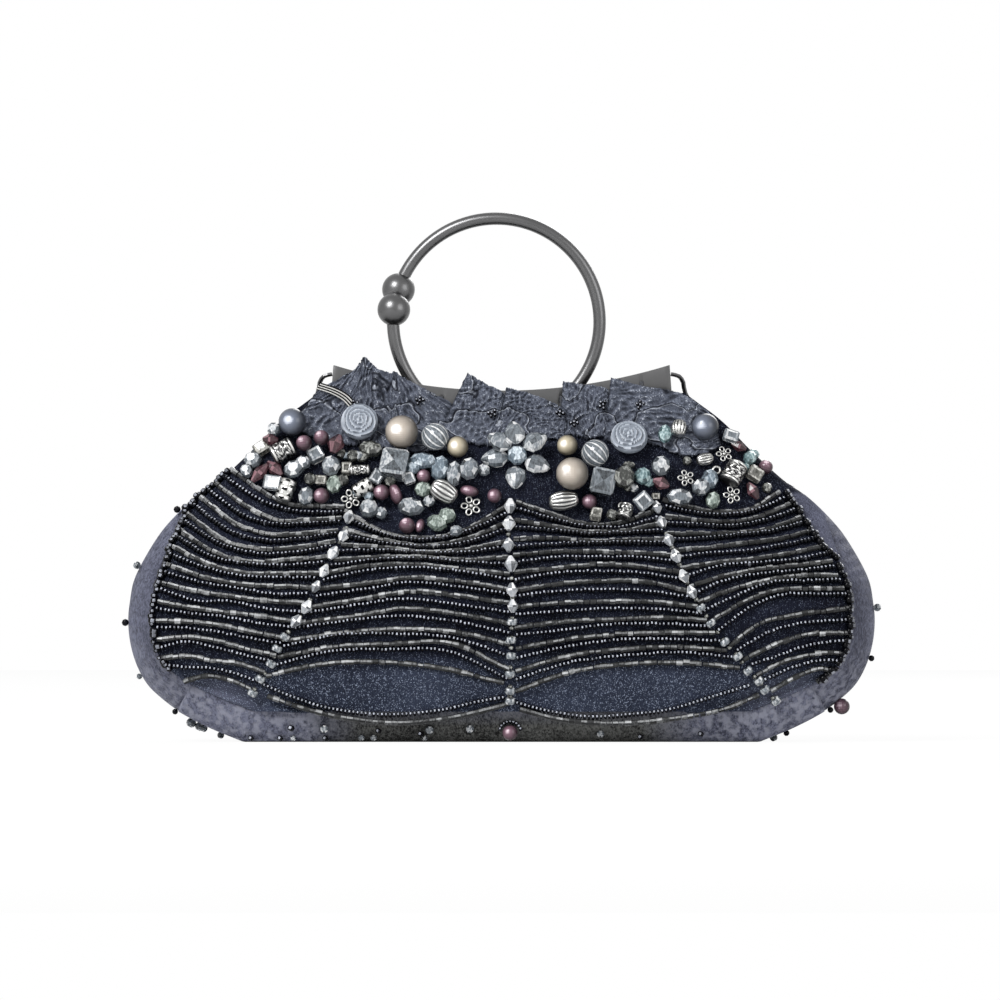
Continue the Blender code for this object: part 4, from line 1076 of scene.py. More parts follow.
def sew_beads(name, pattern, places, along, outward, sizes, shades=0.0, lively=0.0):
    """Copies one pattern to many places as one mesh. Sizes are for X, Y and Z of each bead."""
    shape = PATTERNS[pattern]
    places = np.atleast_2d(places)
    count = len(places)
    along, outward = (np.broadcast_to(np.atleast_2d(ways), places.shape) for ways in (along, outward))
    sizes = np.broadcast_to(np.asarray(sizes, float).reshape(-1, 3), (count, 3))
    aside = unit(np.cross(outward, along))
    axes = np.stack([unit(np.cross(aside, outward)), aside, outward], axis=1)
    points = np.einsum("nvk,nkj->nvj", shape["points"][None] * sizes[:, None], axes) + places[:, None]
    faces = []
    for number in range(count):
        first = number * len(shape["points"])
        faces += [tuple(first + corner for corner in face) for face in shape["faces"]]
    mesh = bpy.data.meshes.new(name)
    mesh.from_pydata(points.reshape(-1, 3).tolist(), [], faces)
    tones = shape["tones"][None] + np.broadcast_to(shades, (count,))[:, None]
    tones = tones + lively * (dice.random((count, len(shape["faces"]))) - 0.5)
    attribute = mesh.attributes.new("tone", "FLOAT", "FACE")
    attribute.data.foreach_set("value", np.clip(tones, 0, 1).ravel())
    mesh.polygons.foreach_set("use_smooth", [shape["smooth"]] * len(mesh.polygons))
    beads = bpy.data.objects.new(name, mesh)
    bpy.context.collection.objects.link(beads)
    return beads


def finish_beads(beads, material, slot, body):
    """Gives beads their material and lets them ride on a body, or bakes their place at the fold.

    The slot is not used.
    """
    beads.data.materials.append(material)
    if body == "fold":
        crossing(beads, "front_half")
    else:
        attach(beads, body)
    return beads


# %% Small bead patterns
GLINT = Vector((0, 0.5, 0.866))
# Directions of a pearl's painted highlight and of its painted bounce light from below.
PEARL_HIGHLIGHT_WAY = Vector((-0.34, 0.20, 0.92))
PEARL_BOUNCE_LIGHT = Vector((0.30, -0.82, 0.49))
CUT_HEIGHT = 0.433
RIM_SLOPE = 0.45
TABLE_SLOPE = 0.95


def glint_tone(normal, body, bright, reach):
    """Bright where the bead's upper front mirrors the window, and its body's own tone elsewhere."""
    return bright if normal.dot(GLINT) > reach else body


def pearl_light_and_shade(centre):
    """Painted light and shade of a pearl: a highlight at its upper left, shade towards its rim, and
    a faint painted bounce light from below.
    """
    glow = max(centre.dot(PEARL_HIGHLIGHT_WAY), 0.0) ** 1.5
    bounce = max(centre.dot(PEARL_BOUNCE_LIGHT), 0.0) ** 5
    return 0.22 + 0.72 * glow + 0.12 * bounce


def cut_tone(centre, normal):
    """Painted reflections of a cut bead: a bright flat top and a dark outline, and the facets between
    them take turns.
    """
    if abs(normal.z) < RIM_SLOPE:
        return 0.10
    if abs(normal.z) > TABLE_SLOPE:
        return 0.58
    return 0.50 + 0.42 * math.sin(3 * math.atan2(normal.y, normal.x) + 0.9)


def cube_tone(centre, normal):
    """The sunk middle of each side is dark."""
    return 0.22 if centre.length < 0.475 else facet_tone(centre, normal)


def cylinder_end(centre, normal):
    return abs(normal.z) > 0.9


def bevelled_cube():
    cube = new_primitive("cube", size=1)
    edit_all()
    bpy.ops.mesh.bevel(offset=0.10, segments=1, affect="EDGES")
    return cube


seed = new_primitive("cylinder", vertices=8, radius=0.5, depth=0.8, rotation=(0, QUARTER, 0))
pick_faces(seed, cylinder_end)
bpy.ops.mesh.bevel(offset=0.2, segments=1, affect="EDGES")
keep_pattern("seed", lambda centre, normal: glint_tone(normal, 0.30, 0.92, 0.92), True)

bugle = new_primitive("cylinder", vertices=8, radius=0.5, depth=1.0, rotation=(0, QUARTER, 0))
pick_faces(bugle, cylinder_end)
bpy.ops.mesh.inset(thickness=0.12)
bpy.ops.mesh.inset(thickness=0.06, depth=-0.08)
keep_pattern("bugle", lambda centre, normal: glint_tone(normal, 0.35, 0.66, 0.9), False)

bicone = new_primitive("cylinder", vertices=8, radius=0.5, depth=0.14, rotation=(0, QUARTER, 0))
pick_faces(bicone, cylinder_end)
bpy.ops.mesh.extrude_region_shrink_fatten(TRANSFORM_OT_shrink_fatten={"value": 0.43})
bpy.ops.object.mode_set(mode="OBJECT")
shape = points_of(bicone.data)
shape[:, :2] *= np.where(np.abs(shape[:, 2]) > 0.3, 0.32, 1.0)[:, None]
set_points(bicone.data, shape)
keep_pattern("bicone", facet_tone, False, in_order=False)

new_primitive("uv_sphere", segments=20, ring_count=14, radius=0.5, rotation=(0, QUARTER, 0))
keep_pattern("pearl", lambda centre, normal: pearl_light_and_shade(centre.normalized()), True)

crystal = new_primitive("uv_sphere", segments=8, ring_count=6, radius=0.5)
shape = points_of(crystal.data)
shape[:, 2] = np.clip(shape[:, 2], -CUT_HEIGHT, CUT_HEIGHT)
set_points(crystal.data, shape)
edit_all()
bpy.ops.mesh.dissolve_limited(angle_limit=0.02)
keep_pattern("round_crystal", cut_tone, False, in_order=False)

pick_faces(bevelled_cube(), lambda centre, normal: max(abs(part) for part in normal) > 0.9)
bpy.ops.mesh.inset(thickness=0.14, depth=-0.03, use_individual=True)
keep_pattern("cube", cube_tone, False)

new_primitive("torus", major_segments=14, minor_segments=7, major_radius=0.36, minor_radius=0.13)
keep_pattern("ring", lambda centre, normal: 0.15 + 0.75 * max(normal.z, 0.0), True)

new_primitive("torus", major_segments=14, minor_segments=7, major_radius=0.34, minor_radius=0.16,
              rotation=(0, QUARTER, 0))
keep_pattern("loop", lambda centre, normal: 0.15 + 0.8 * abs(math.sin(3 * centre.x + 7 * centre.y)), True)

# %% [markdown]
# ## Bead rows
# Four fields of strung beads cover the lower front between the crystal ribs. Rows of grey bugles and
# rows of black seeds take turns, and they rise and fall like water. A few measured rows in each field
# are enough: the rows between them follow by interpolation, and each row is then laid over the cloth
# and filled with beads at the real spacing.

# %% Where the rows run, in pixels: row number, left end, right end, heights at five shares
FIELDS = {
    "far_left": (24, (
        (0, 231, 345, (468.8, 489, 504, 506.5, 507)),
        (6, 186, 336, (513, 540, 549.5, 546.5, 541.5)),
        (12, 166, 312, (563.8, 576.5, 584, 586, 587)),
        (17, 156, 294, (610.6, 615.7, 619.5, 624.5, 629)),
        (21, 157, 270, (650, 644, 649, 655, 663)),
        (23, 162, 259, (665.5, 667.5, 669.5, 674, 682.5)),
    )),
    "left": (21, (
        (0, 345, 507, (511, 533, 538, 529, 504)),
        (4, 341, 507, (545, 549, 551.5, 550, 542)),
        (8, 326, 510, (574, 565.5, 563, 568, 574)),
        (12, 311, 510, (605.4, 598.5, 591, 596, 604)),
        (16, 288, 510, (639.4, 631, 628.5, 632.5, 644.6)),
        (19, 272, 508, (668, 652, 651, 652, 681)),
        (20, 266, 504, (675, 664, 661.5, 669, 683)),
    )),
    "right": (21, (
        (0, 516, 656, (502, 513, 525, 523, 511)),
        (5, 513, 669, (548, 545, 544, 544, 545.5)),
        (9, 514, 682, (581.5, 575, 572, 574, 581.5)),
        (13, 514, 703, (615, 612.5, 610.5, 610.5, 615)),
        (16, 516, 715, (648.5, 639, 634, 632.5, 633.8)),
        (20, 515, 740, (692.7, 672, 663.5, 662, 667)),
    )),
    "far_right": (22, (
        (0, 663, 780, (499.4, 508, 511.4, 507, 491.7)),
        (5, 669, 806, (542, 539, 537.5, 533, 523.8)),
        (9, 684, 829, (577.5, 569, 564.5, 560, 553.4)),
        (13, 703, 841, (612, 595, 584.5, 582, 581.5)),
        (15, 718, 847, (632.4, 608, 596.5, 595.5, 596)),
        (16, 729, 851, (645.8, 624, 616, 612, 609.6)),
        (19, 750.5, 855, (666, 656.5, 647.5, 644, 643)),
        (21, 764, 850, (683, 672, 663.5, 661.5, 663)),
    )),
}
# Painted light: the far left field is lighter and the fields to the right darker, as light falls from the
# left.
PAINTED_FIELD_LIGHT = {"far_left": 0.08, "left": -0.02, "right": -0.05, "far_right": -0.06}
LENS_STRINGS = {
    "left": (
        ("seed", ((262, 684), (293, 697), (332, 709), (385, 715), (437, 711), (476, 702), (505, 697))),
        ("bugle", ((267, 696), (306, 709), (345, 718), (398, 723), (450, 718), (489, 709), (510, 703))),
    ),
    "right": (
        ("seed", ((515, 702), (547, 711), (587, 717), (627, 715), (667.5, 710), (708, 698), (750.5, 685))),
        ("bugle", ((520, 709), (560, 719.5), (614, 723.5), (667.5, 719.5), (721, 710), (759, 695))),
    ),
    "far_left": (("bugle", ((180.6, 682.5), (206.8, 676), (230, 680), (251, 689))),),
    "far_right": (("bugle", ((771, 691), (796, 677), (823, 668.6), (844, 682))),),
}

# %% Lay the strings over the cloth
# Pitch, height over the cloth, size along the thread, across it and off the cloth, and finish
STRINGS = {
    "seed": (0.00152, 0.0010, (0.00142, 0.00205, 0.0020), HEMATITE),
    "bugle": (0.00235, 0.00095, (0.0022, 0.0020, 0.0018), BUGLE),
}
ROW_WANDER = 0.00009
LENS_LIFT = 0.0010
BEAD_TILT = 600
SIZE_SPREAD = 0.07
ROW_SWAY = 0.8
PAIR_SHIFT = 1.1


def lay_string(line, pitch, lift, wander=0.0):
    """Evenly spaced places, threads and normals along a pixel line laid over the front cloth."""
    place, outward = seen_at(*curve_through(line, 10).T, lift)
    reach = reach_of(place)
    count = max(int(round(reach[-1] / pitch)), 1)
    steps = (np.arange(count) + 0.5) / count * reach[-1]
    spots = columns_at(steps, reach, place)
    normals = unit(columns_at(steps, reach, outward))
    threads = unit(columns_at(steps, reach, np.gradient(place, axis=0)))
    threads += BEAD_TILT * wander * dice.normal(size=threads.shape)
    return spots + wander * dice.normal(size=spots.shape), threads, normals


def field_lines(rows, keys):
    """Every row of a field as a pixel line, between its measured rows."""
    numbers = [key[0] for key in keys]
    table = np.array([[key[1], key[2], *key[3]] for key in keys])
    for row in range(rows):
        left, right, *heights = [np.interp(row, numbers, column) for column in table.T]
        swayed = np.array(heights) + ROW_SWAY * dice.normal(size=5) - PAIR_SHIFT * (row % 2)
        yield row, list(zip(np.linspace(left, right, 5), swayed))


def string_beads(name, kind, strings, body, shade=0.0):
    """One mesh of seeds or bugles from many laid strings. A few of the bugles glint."""
    size, material = STRINGS[kind][2:]
    places, threads, normals = (np.concatenate(parts) for parts in zip(*strings))
    count = len(places)
    sizes = np.array(size) * (1 + SIZE_SPREAD * dice.normal(size=(count, 1)))
    if kind == "seed":
        shades, lively = 0.10 * dice.normal(size=count), 0.2
    else:
        glints = np.where(dice.random(count) > 0.86, 0.24, 0.0) + 0.06 * dice.normal(size=count)
        shades, lively = glints + shade, 0.34
    beads = sew_beads(name, kind, places, threads, normals, sizes, shades, lively)
    print(name, count, "beads")
    return finish_beads(beads, material, "hematite_beads", body)


for field, (rows, keys) in FIELDS.items():
    laid = {"seed": [], "bugle": []}
    for row, line in field_lines(rows, keys):
        kind = "seed" if row % 2 else "bugle"
        pitch, lift = STRINGS[kind][:2]
        laid[kind].append(lay_string(line, pitch, lift, ROW_WANDER))
    for kind, strings in laid.items():
        beads = string_beads(f"{kind}_rows_{field}", kind, strings, "fold", PAINTED_FIELD_LIGHT[field])
        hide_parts(f"bead_rows_{field}", "fold_bead_rows")
for field, lines in LENS_STRINGS.items():
    for kind, line in lines:
        string = lay_string(line, STRINGS[kind][0], LENS_LIFT)
        beads = string_beads(f"{kind}_lens_{field}", kind, [string], "bag")
        if kind == "seed":
            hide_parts(f"scallop_beads_{field}")

# %% [markdown]
# ## Ribs and borders
# Three upright ribs of cut bicones part the fields, and each ends in a few small clear beads. Along the
# seams a string of black beads, set a little unevenly, closes the outer fields.

# %% Ribs and borders, in pixels
RIBS = {
    "left": (
        ((349, 517), (343.6, 536), (333, 553), (324, 571), (316, 586.5), (306.6, 607), (296, 621)),
        ((285, 637), (277, 648.5), (271, 664), (260, 679), (252.5, 693)),
    ),
    "middle": (
        ((510, 506), (509, 523.5), (508.5, 545), (511, 564), (512, 590), (512.7, 606)),
        ((512, 622), (511, 640), (511, 656), (510, 674), (510, 691), (510, 701)),
    ),
    "right": (
        ((657, 507), (662, 522), (669, 540), (676, 556), (684, 576), (692, 592)),
        ((701, 608), (711, 623), (725, 642), (738, 656.5), (748, 671), (759, 681), (765, 690), (776, 701)),
    ),
}
BICONE_SIZE = np.array([0.0054, 0.0042, 0.0042])
LOOP_SIZE = (0.0080, 0.0042, 0.0036)
LOOP_LIFT = 0.0013
THREAD_BEAD = (0.0018, 0.0018, 0.0018)
THREAD_PITCH = 0.0037
THREAD_LIFT = 0.0008
BORDER_BEAD = 0.0026
BORDER_PITCH = 0.0019
BORDER_LIFT = 0.0014
BORDER_WANDER = 0.00035


def along_rib(line, lift):
    """Places, threads and normals at the pixels of a rib's beads."""
    places, outward = seen_at(*np.transpose(line), lift)
    return places, np.gradient(places, axis=0), outward


for name, (large, small) in RIBS.items():
    sizes = BICONE_SIZE * (1 + 0.08 * dice.normal(size=(len(large), 1)))
    rib = sew_beads("rib_" + name, "bicone", *along_rib(large, BICONE_SIZE[1] / 2), sizes, 0.0, 0.8)
    finish_beads(rib, BICONE, "clear_bicones", "fold")
    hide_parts("crystal_rib_" + name)
    ends = sew_beads("rib_end_" + name, "loop", *along_rib(small, LOOP_LIFT), LOOP_SIZE, -0.22, 0.3)
    finish_beads(ends, CLEAR, "clear_bicones", "bag")
    spacers = lay_string(large + small, THREAD_PITCH, THREAD_LIFT)
    spacer = sew_beads("rib_thread_" + name, "seed", *spacers, THREAD_BEAD, 0.3, 0.3)
    finish_beads(spacer, SMOKE, "clear_bicones", "fold")
for name, line in BORDERS.items():
    places, threads, normals = lay_string(line, BORDER_PITCH, BORDER_LIFT, BORDER_WANDER)
    sizes = BORDER_BEAD * (1 + 0.15 * dice.normal(size=(len(places), 1))) * np.ones((1, 3))
    border = sew_beads("border_" + name, "seed", places, threads, normals, sizes, -0.2, 0.25)
    finish_beads(border, HEMATITE, "hematite_beads", "fold")
    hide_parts("border_beads_" + name)
print("ribs and borders made")

# %% [markdown]
# ## Ribbon ruffle
# A crushed ribbon is folded into overlapping tabs along the frame. Each tab has a peak at its left,
# slopes down to the right and ends in a frayed edge under the beads. A tab is a sheet between a top line
# and a foot line, with upright pleats and a fine crumple pressed into it.

# %% Tabs of the ribbon: top line and foot line in pixels, lift and number of pleats
TABS = {
    "far_left": (((318, 390), (340, 378), (357, 367), (364, 357), (371, 363), (376, 368)),
                 ((290, 425), (310, 436), (330, 441), (348, 444), (362, 444), (378, 446)), 0.0, 2.0),
    "left": (((372, 366), (389.5, 373), (394.5, 371.5), (406, 379), (423, 388), (452, 404)),
             ((372, 446), (389, 448), (402, 450), (418, 452), (434, 450), (450, 449)), 0.0004, 2.5),
    "middle": (((467.5, 373), (478, 379), (488, 385), (499, 390), (504, 394), (508, 400)),
               ((440, 430), (456, 438), (470, 442), (484, 444), (496, 446), (508, 444)), 0.0016, 1.5),
    "middle_right": (((506.5, 388), (520, 391), (532, 394), (546, 400), (559, 406), (566, 410)),
                     ((496, 432), (510, 436), (524, 434), (538, 436), (552, 438), (564, 440)), 0.0026, 1.5),
    "flat_tab": (((563, 381.5), (574, 383), (585, 384.5), (596, 386), (606, 388), (608, 392)),
                 ((559, 436), (570, 434), (580, 436), (590, 438), (600, 436), (608, 436)), 0.0012, 1.0),
    "right": (((611, 377.5), (628, 382), (646, 387), (673, 391), (690, 398), (705, 409), (714, 420)),
              ((604, 440), (622, 440), (642, 441), (664, 447), (686, 456), (704, 453), (722, 446)),
              0.0022, 3.0),
}
CRUMPLE = 0.0017
PLEAT = 0.0022
RIBBON_GAP = 0.0012
RIBBON_NEARER = 0.02
RIBBON_WALL = 0.0004
RIBBON_FULLNESS = 1.25
FRAY_STEPS = 90


def crumple(u, v, seed_number):
    """Sharp small folds at random angles, made from a few folded waves."""
    waves = np.random.default_rng(seed_number)
    total = np.zeros_like(u)
    for pitch in (5, 7, 10, 14, 19):
        turn, start = waves.uniform(-0.9, 0.9), waves.random() * 6
        warp = 1.8 * np.sin(2.3 * u + 3.1 * v + start) + 1.1 * np.sin(5.1 * u - 4.3 * v + 2 * start)
        wave = np.sin((u * math.cos(turn) + v * math.sin(turn)) * pitch + start + warp)
        total += (1 - np.abs(wave)) * 7 / (2 + pitch)
    return total / 3


def tab_rule(top, foot, lift, pleats, seed_number):
    """A sheet between the tab's top line and its frayed foot, pleated and crumpled."""
    top_line, foot_line = curve_through(top), curve_through(foot)
    fray = np.random.default_rng(seed_number).normal(size=400)

    def rule(across, up):
        u = (across + 1) / 2
        at = u * (len(top_line) - 1)
        high = columns_at(at, np.arange(len(top_line)), top_line)
        low = columns_at(at, np.arange(len(foot_line)), foot_line)
        pixel = low + (high - low) * up[:, None]
        ragged = fray[np.round(u * FRAY_STEPS).astype(int)]
        pixel[:, 1] += 1.1 * ragged * (up < 0.01) - 0.35 * ragged * (up > 0.99)
        x, z = at_pixels(*pixel.T, 1 - RIBBON_NEARER / CAMERA_REACH)
        stand = np.maximum(panel_depth(x, z), PLATE_FACE + FABRIC) + RIBBON_GAP + lift * up
        pleat = (1 + np.cos(2 * math.pi * pleats * u)) / 2
        depth = stand + PLEAT * pleat * up + CRUMPLE * crumple(u * 3, up * 3, seed_number)
        return np.column_stack([x, -depth, z])

    return rule


for number, (name, (top, foot, lift, pleats)) in enumerate(TABS.items()):
    rule = tab_rule(top, foot, lift, pleats, 20 + number)
    tab = sew_sheet("ribbon_" + name, 120, 84, rule, RIBBON_WALL)
    dress(tab, RIBBON)
    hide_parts("ruffle_" + name)
    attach(tab, "front_half")
    width, _, height = np.ptp(points_of(tab.data), axis=0)
    flat = (RIBBON_FULLNESS * float(width), RIBBON_FULLNESS * float(height))
    flat_area = min(max(CUT_AREA[tab.name], 0.31 * flat[0] * flat[1]), flat[0] * flat[1])
    print(tab.name, "flat", [round(side, 3) for side in flat])

# %% [markdown]
# ## Large beads
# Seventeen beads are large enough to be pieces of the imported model. Each dressed bead takes its middle
# and its size from there. Pearls are drilled, the roses are moulded discs with a spiral of petals, and
# the silver barrels are cast with scrolls or flutes. The clear stones are cut, so each facet has a tone
# of its own. The table says what differs from kind to kind, and one loop dresses them all.


# %% Large bead patterns
def shape_pattern(name, segments, rings, place_rule, tone_rule, smooth=True):
    """A sphere whose points a rule moves. The tone rule reads each face's centre before the move."""
    piece = new_primitive("uv_sphere", segments=segments, ring_count=rings, radius=1,
                          rotation=(0, QUARTER, 0))
    bpy.ops.object.transform_apply(location=False, rotation=True, scale=False)
    tones = iter([tone_rule(face.center) for face in piece.data.polygons])
    set_points(piece.data, place_rule(points_of(piece.data)))
    keep_pattern(name, lambda centre, normal: next(tones), smooth, in_order=False)


def drilled(points):
    """A pearl with a small drilled hole at each end of its thread."""
    rim = np.sqrt(points[:, 1] ** 2 + points[:, 2] ** 2)
    dent = np.where(rim < 0.12, 0.75, 1.0)
    return points * np.column_stack([dent, np.ones_like(dent), np.ones_like(dent)]) * 0.5


def petal_spiral(radius, turn):
    """How far a place is across its own petal of the spiral, from 0 to 1."""
    lap = radius * 4.6 + turn / (2 * math.pi) + 0.16 * np.sin(3 * turn + 7 * radius)
    return lap % 1.0


def rose_place(points):
    radius = np.sqrt(points[:, 0] ** 2 + points[:, 1] ** 2)
    turn = np.arctan2(points[:, 1], points[:, 0])
    dome = 0.22 * np.sqrt(np.maximum(1 - radius**2, 0)) + 0.03
    relief = 0.07 * petal_spiral(radius, turn) ** 1.5 * (radius < 0.97)
    height = np.where(points[:, 2] > 0, dome + relief, -0.12 * np.sqrt(np.maximum(1 - radius**2, 0)))
    return np.column_stack([points[:, 0] * 0.5, points[:, 1] * 0.5, height])


# Painted shade and highlight: each petal is dark in its groove and lighter towards its raised edge.
def rose_light_and_shade(centre):
    radius = math.hypot(centre.x, centre.y)
    across = petal_spiral(radius, math.atan2(centre.y, centre.x))
    return 0.3 + 0.55 * across**2 - (0.2 if across < 0.12 else 0.0)


def barrel_radius(along):
    return np.interp(np.abs(along), (0, 0.5, 0.86, 0.97, 1.0), (1.0, 0.99, 0.93, 0.80, 0.0))


def scroll_relief(along, turn):
    curls = np.sin(4 * turn + 5 * np.sin(6 * along)) * np.sin(11 * along + 2 * np.sin(4 * turn))
    rims = np.abs(np.abs(along) - 0.78) < 0.09
    return np.where(rims, 1.0, np.clip(curls * 2.2, -1, 1) * (np.abs(along) < 0.66))


def scroll_place(points):
    along, turn = points[:, 0], np.arctan2(points[:, 2], points[:, 1])
    reach = 0.5 * barrel_radius(along) * (1 + 0.07 * scroll_relief(along, turn))
    return np.column_stack([0.5 * along, reach * np.cos(turn), reach * np.sin(turn)])


def scroll_tone(centre):
    return 0.5 + 0.45 * float(scroll_relief(centre.x, math.atan2(centre.z, centre.y)))


def flute_relief(along, turn):
    return np.where(np.abs(along) < 0.8, np.abs(np.cos(6 * turn)) ** 0.6, 0.9)


def flute_place(points):
    along, turn = points[:, 0], np.arctan2(points[:, 2], points[:, 1])
    swell = np.interp(np.abs(along), (0, 0.44, 0.8, 0.98, 1.0), (1.0, 0.92, 0.74, 0.45, 0.0))
    reach = 0.5 * swell * (0.84 + 0.16 * flute_relief(along, turn))
    return np.column_stack([0.5 * along, reach * np.cos(turn), reach * np.sin(turn)])


def flute_tone(centre):
    return 0.05 + 0.9 * float(flute_relief(centre.x, math.atan2(centre.z, centre.y)))


def petal_place(points):
    width = np.interp(points[:, 0], (-1, -0.8, -0.45, 0.0, 1), (0.6, 0.9, 1.1, 1.0, 0.6))
    return np.column_stack([0.5 * points[:, 0], 0.5 * points[:, 1] * width, 0.5 * points[:, 2] * width])


def petal_tone(centre):
    return 0.02 + abs(math.sin(5 * centre.y + 9 * centre.z))


def stripe_tone(centre):
    """Fine stripes run along the thread over the front and the back, and the rim has a pale painted
    reflection.
    """
    band = round(math.atan2(centre.z, centre.y) * STRIPE_FACES / (2 * math.pi) - 0.5) % 4
    return 0.75 if abs(centre.z) < 0.2 else (0.26, 0.38, 0.32, 0.92)[band]


def square_tone(centre, normal):
    """Painted reflections: the four quarters of the top differ, and its bevelled rim is bright."""
    if normal.z < 0.6:
        return facet_tone(centre, normal)
    if normal.z < 0.9:
        return 0.60
    return (0.42, 0.12, 0.62, 0.05)[round(math.atan2(centre.y, centre.x) / QUARTER) % 4]


STRIPE_FACES = 48
shape_pattern("drilled_pearl", 48, 32, drilled, pearl_light_and_shade)
shape_pattern("rose", 72, 72, rose_place, rose_light_and_shade)
shape_pattern("scroll_barrel", 64, 40, scroll_place, scroll_tone)
shape_pattern("fluted_oval", 72, 28, flute_place, flute_tone)
shape_pattern("petal", 12, 6, petal_place, petal_tone, False)
shape_pattern("striped_ball", STRIPE_FACES, 12, lambda points: points * 0.5, stripe_tone, False)
pick_faces(bevelled_cube(), lambda centre, normal: normal.z > 0.9)
bpy.ops.mesh.poke(offset=0.05)
bpy.ops.mesh.poke(offset=0.03)
keep_pattern("square_crystal", square_tone, False)

# %% Large beads in their places
FRONT = np.array([0.0, -1.0, 0.0])
ROSE_SWELL = 1.05

# End of the piece's name, pattern, finish, slot, turns and shades at left and right, and liveliness
LARGE_BEADS = {
    "champagne_pearl": ("bead", "drilled_pearl", CHAMPAGNE, "champagne_pearl", (0, 0), (0, 0), 0),
    "gold_pearl": ("bead", "drilled_pearl", GOLD, "gold_pearl", (0, 0), (0, 0), 0),
    "blue_pearl": ("bead", "drilled_pearl", BLUE_PEARL, "blue_pearl", (0, 0), (0, 0), 0),
    "striped_crystal": ("bead", "striped_ball", CLEAR, "striped_crystal", (-42, -42), (0, 0), 0.05),
    "glass_rose": ("disc", "rose", ROSE_GLASS, "frosted_glass", (0, 0), (0, 0), 0),
    "square_crystal": ("cut", "square_crystal", CLEAR, "square_crystal", (-12, -12), (-0.03, -0.24), 0.4),
    "scroll_barrel": ("cast", "scroll_barrel", SILVER, "antique_silver", (28, 60), (0, 0), 0),
    "fluted_oval": ("cast", "fluted_oval", SILVER, "antique_silver", (-32, 8), (0, 0), 0),
}
FLOWER_SPOT = (517, 455)
FLOWER_LIFT = 0.0038
PETAL_TURNS = (-93, -25, 37, 97, 142, -172)
PETAL_REACH = 0.0084
PETAL_SIZE = (0.0104, 0.0080, 0.0058)
HEART_SIZE = (0.0080, 0.0080, 0.0070)


def spot_of(node):
    """A node's middle, its size and the cloth's normal under it."""
    low, high = (np.array(corner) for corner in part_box(node))
    middle = (low + high) / 2
    return middle, high - low, panel_normal(middle[0], middle[2])


def turned_way(degrees):
    turn = math.radians(degrees)
    return np.array([math.cos(turn), 0.0, math.sin(turn)])


def dressed_size(pattern, wide, deep, tall):
    """A large bead's size along its thread, across it and off the cloth, from its node's box."""
    if pattern == "rose":
        return [ROSE_SWELL * max(wide, tall)] * 3
    if pattern == "square_crystal":
        return [wide * 0.95, tall * 0.9, deep * 0.7]
    if pattern in ("scroll_barrel", "fluted_oval"):
        return [wide, tall, tall]
    return [tall] * 3


for kind, (word, pattern, material, slot, turns, shades, lively) in LARGE_BEADS.items():
    for end, degrees, shade in zip(("left", "right"), turns, shades):
        node = f"{kind}_{end}"
        middle, size, outward = spot_of(node)
        facing = FRONT if pattern in ("drilled_pearl", "striped_ball") else outward
        bead = sew_beads(f"{node}_{word}", pattern, middle, turned_way(degrees), facing,
                         dressed_size(pattern, *size), shade, lively)
        finish_beads(bead, material, slot, "front_half")
        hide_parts(node)

outward = spot_of("crystal_flower")[2]
centre = seen_at(*FLOWER_SPOT, FLOWER_LIFT)[0][0]
ways = [turned_way(degrees) for degrees in PETAL_TURNS]
places = [centre + way * PETAL_REACH for way in ways]
petals = sew_beads("crystal_flower_petals", "petal", places, ways, outward, PETAL_SIZE, -0.08, 0.45)
finish_beads(petals, CLEAR, "crystal_flower", "front_half")
heart = sew_beads("crystal_flower_heart", "round_crystal", centre, turned_way(30), outward, HEART_SIZE,
                  0.1, 0.6)
finish_beads(heart, BLUE_GLASS, "crystal_flower", "front_half")
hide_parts("crystal_flower")
print("large beads made")

# %% [markdown]
# ## Small cluster beads
# Between the large beads lie eighty-nine small ones: mauve pearls and chips, clear, smoky and coloured
# crystals, cubes, and knots and tubes of silver. They are listed by kind with their place in the
# picture, their size and the turn of their thread, and each kind becomes one mesh. A bead that lies on
# the ribbon stands further out.

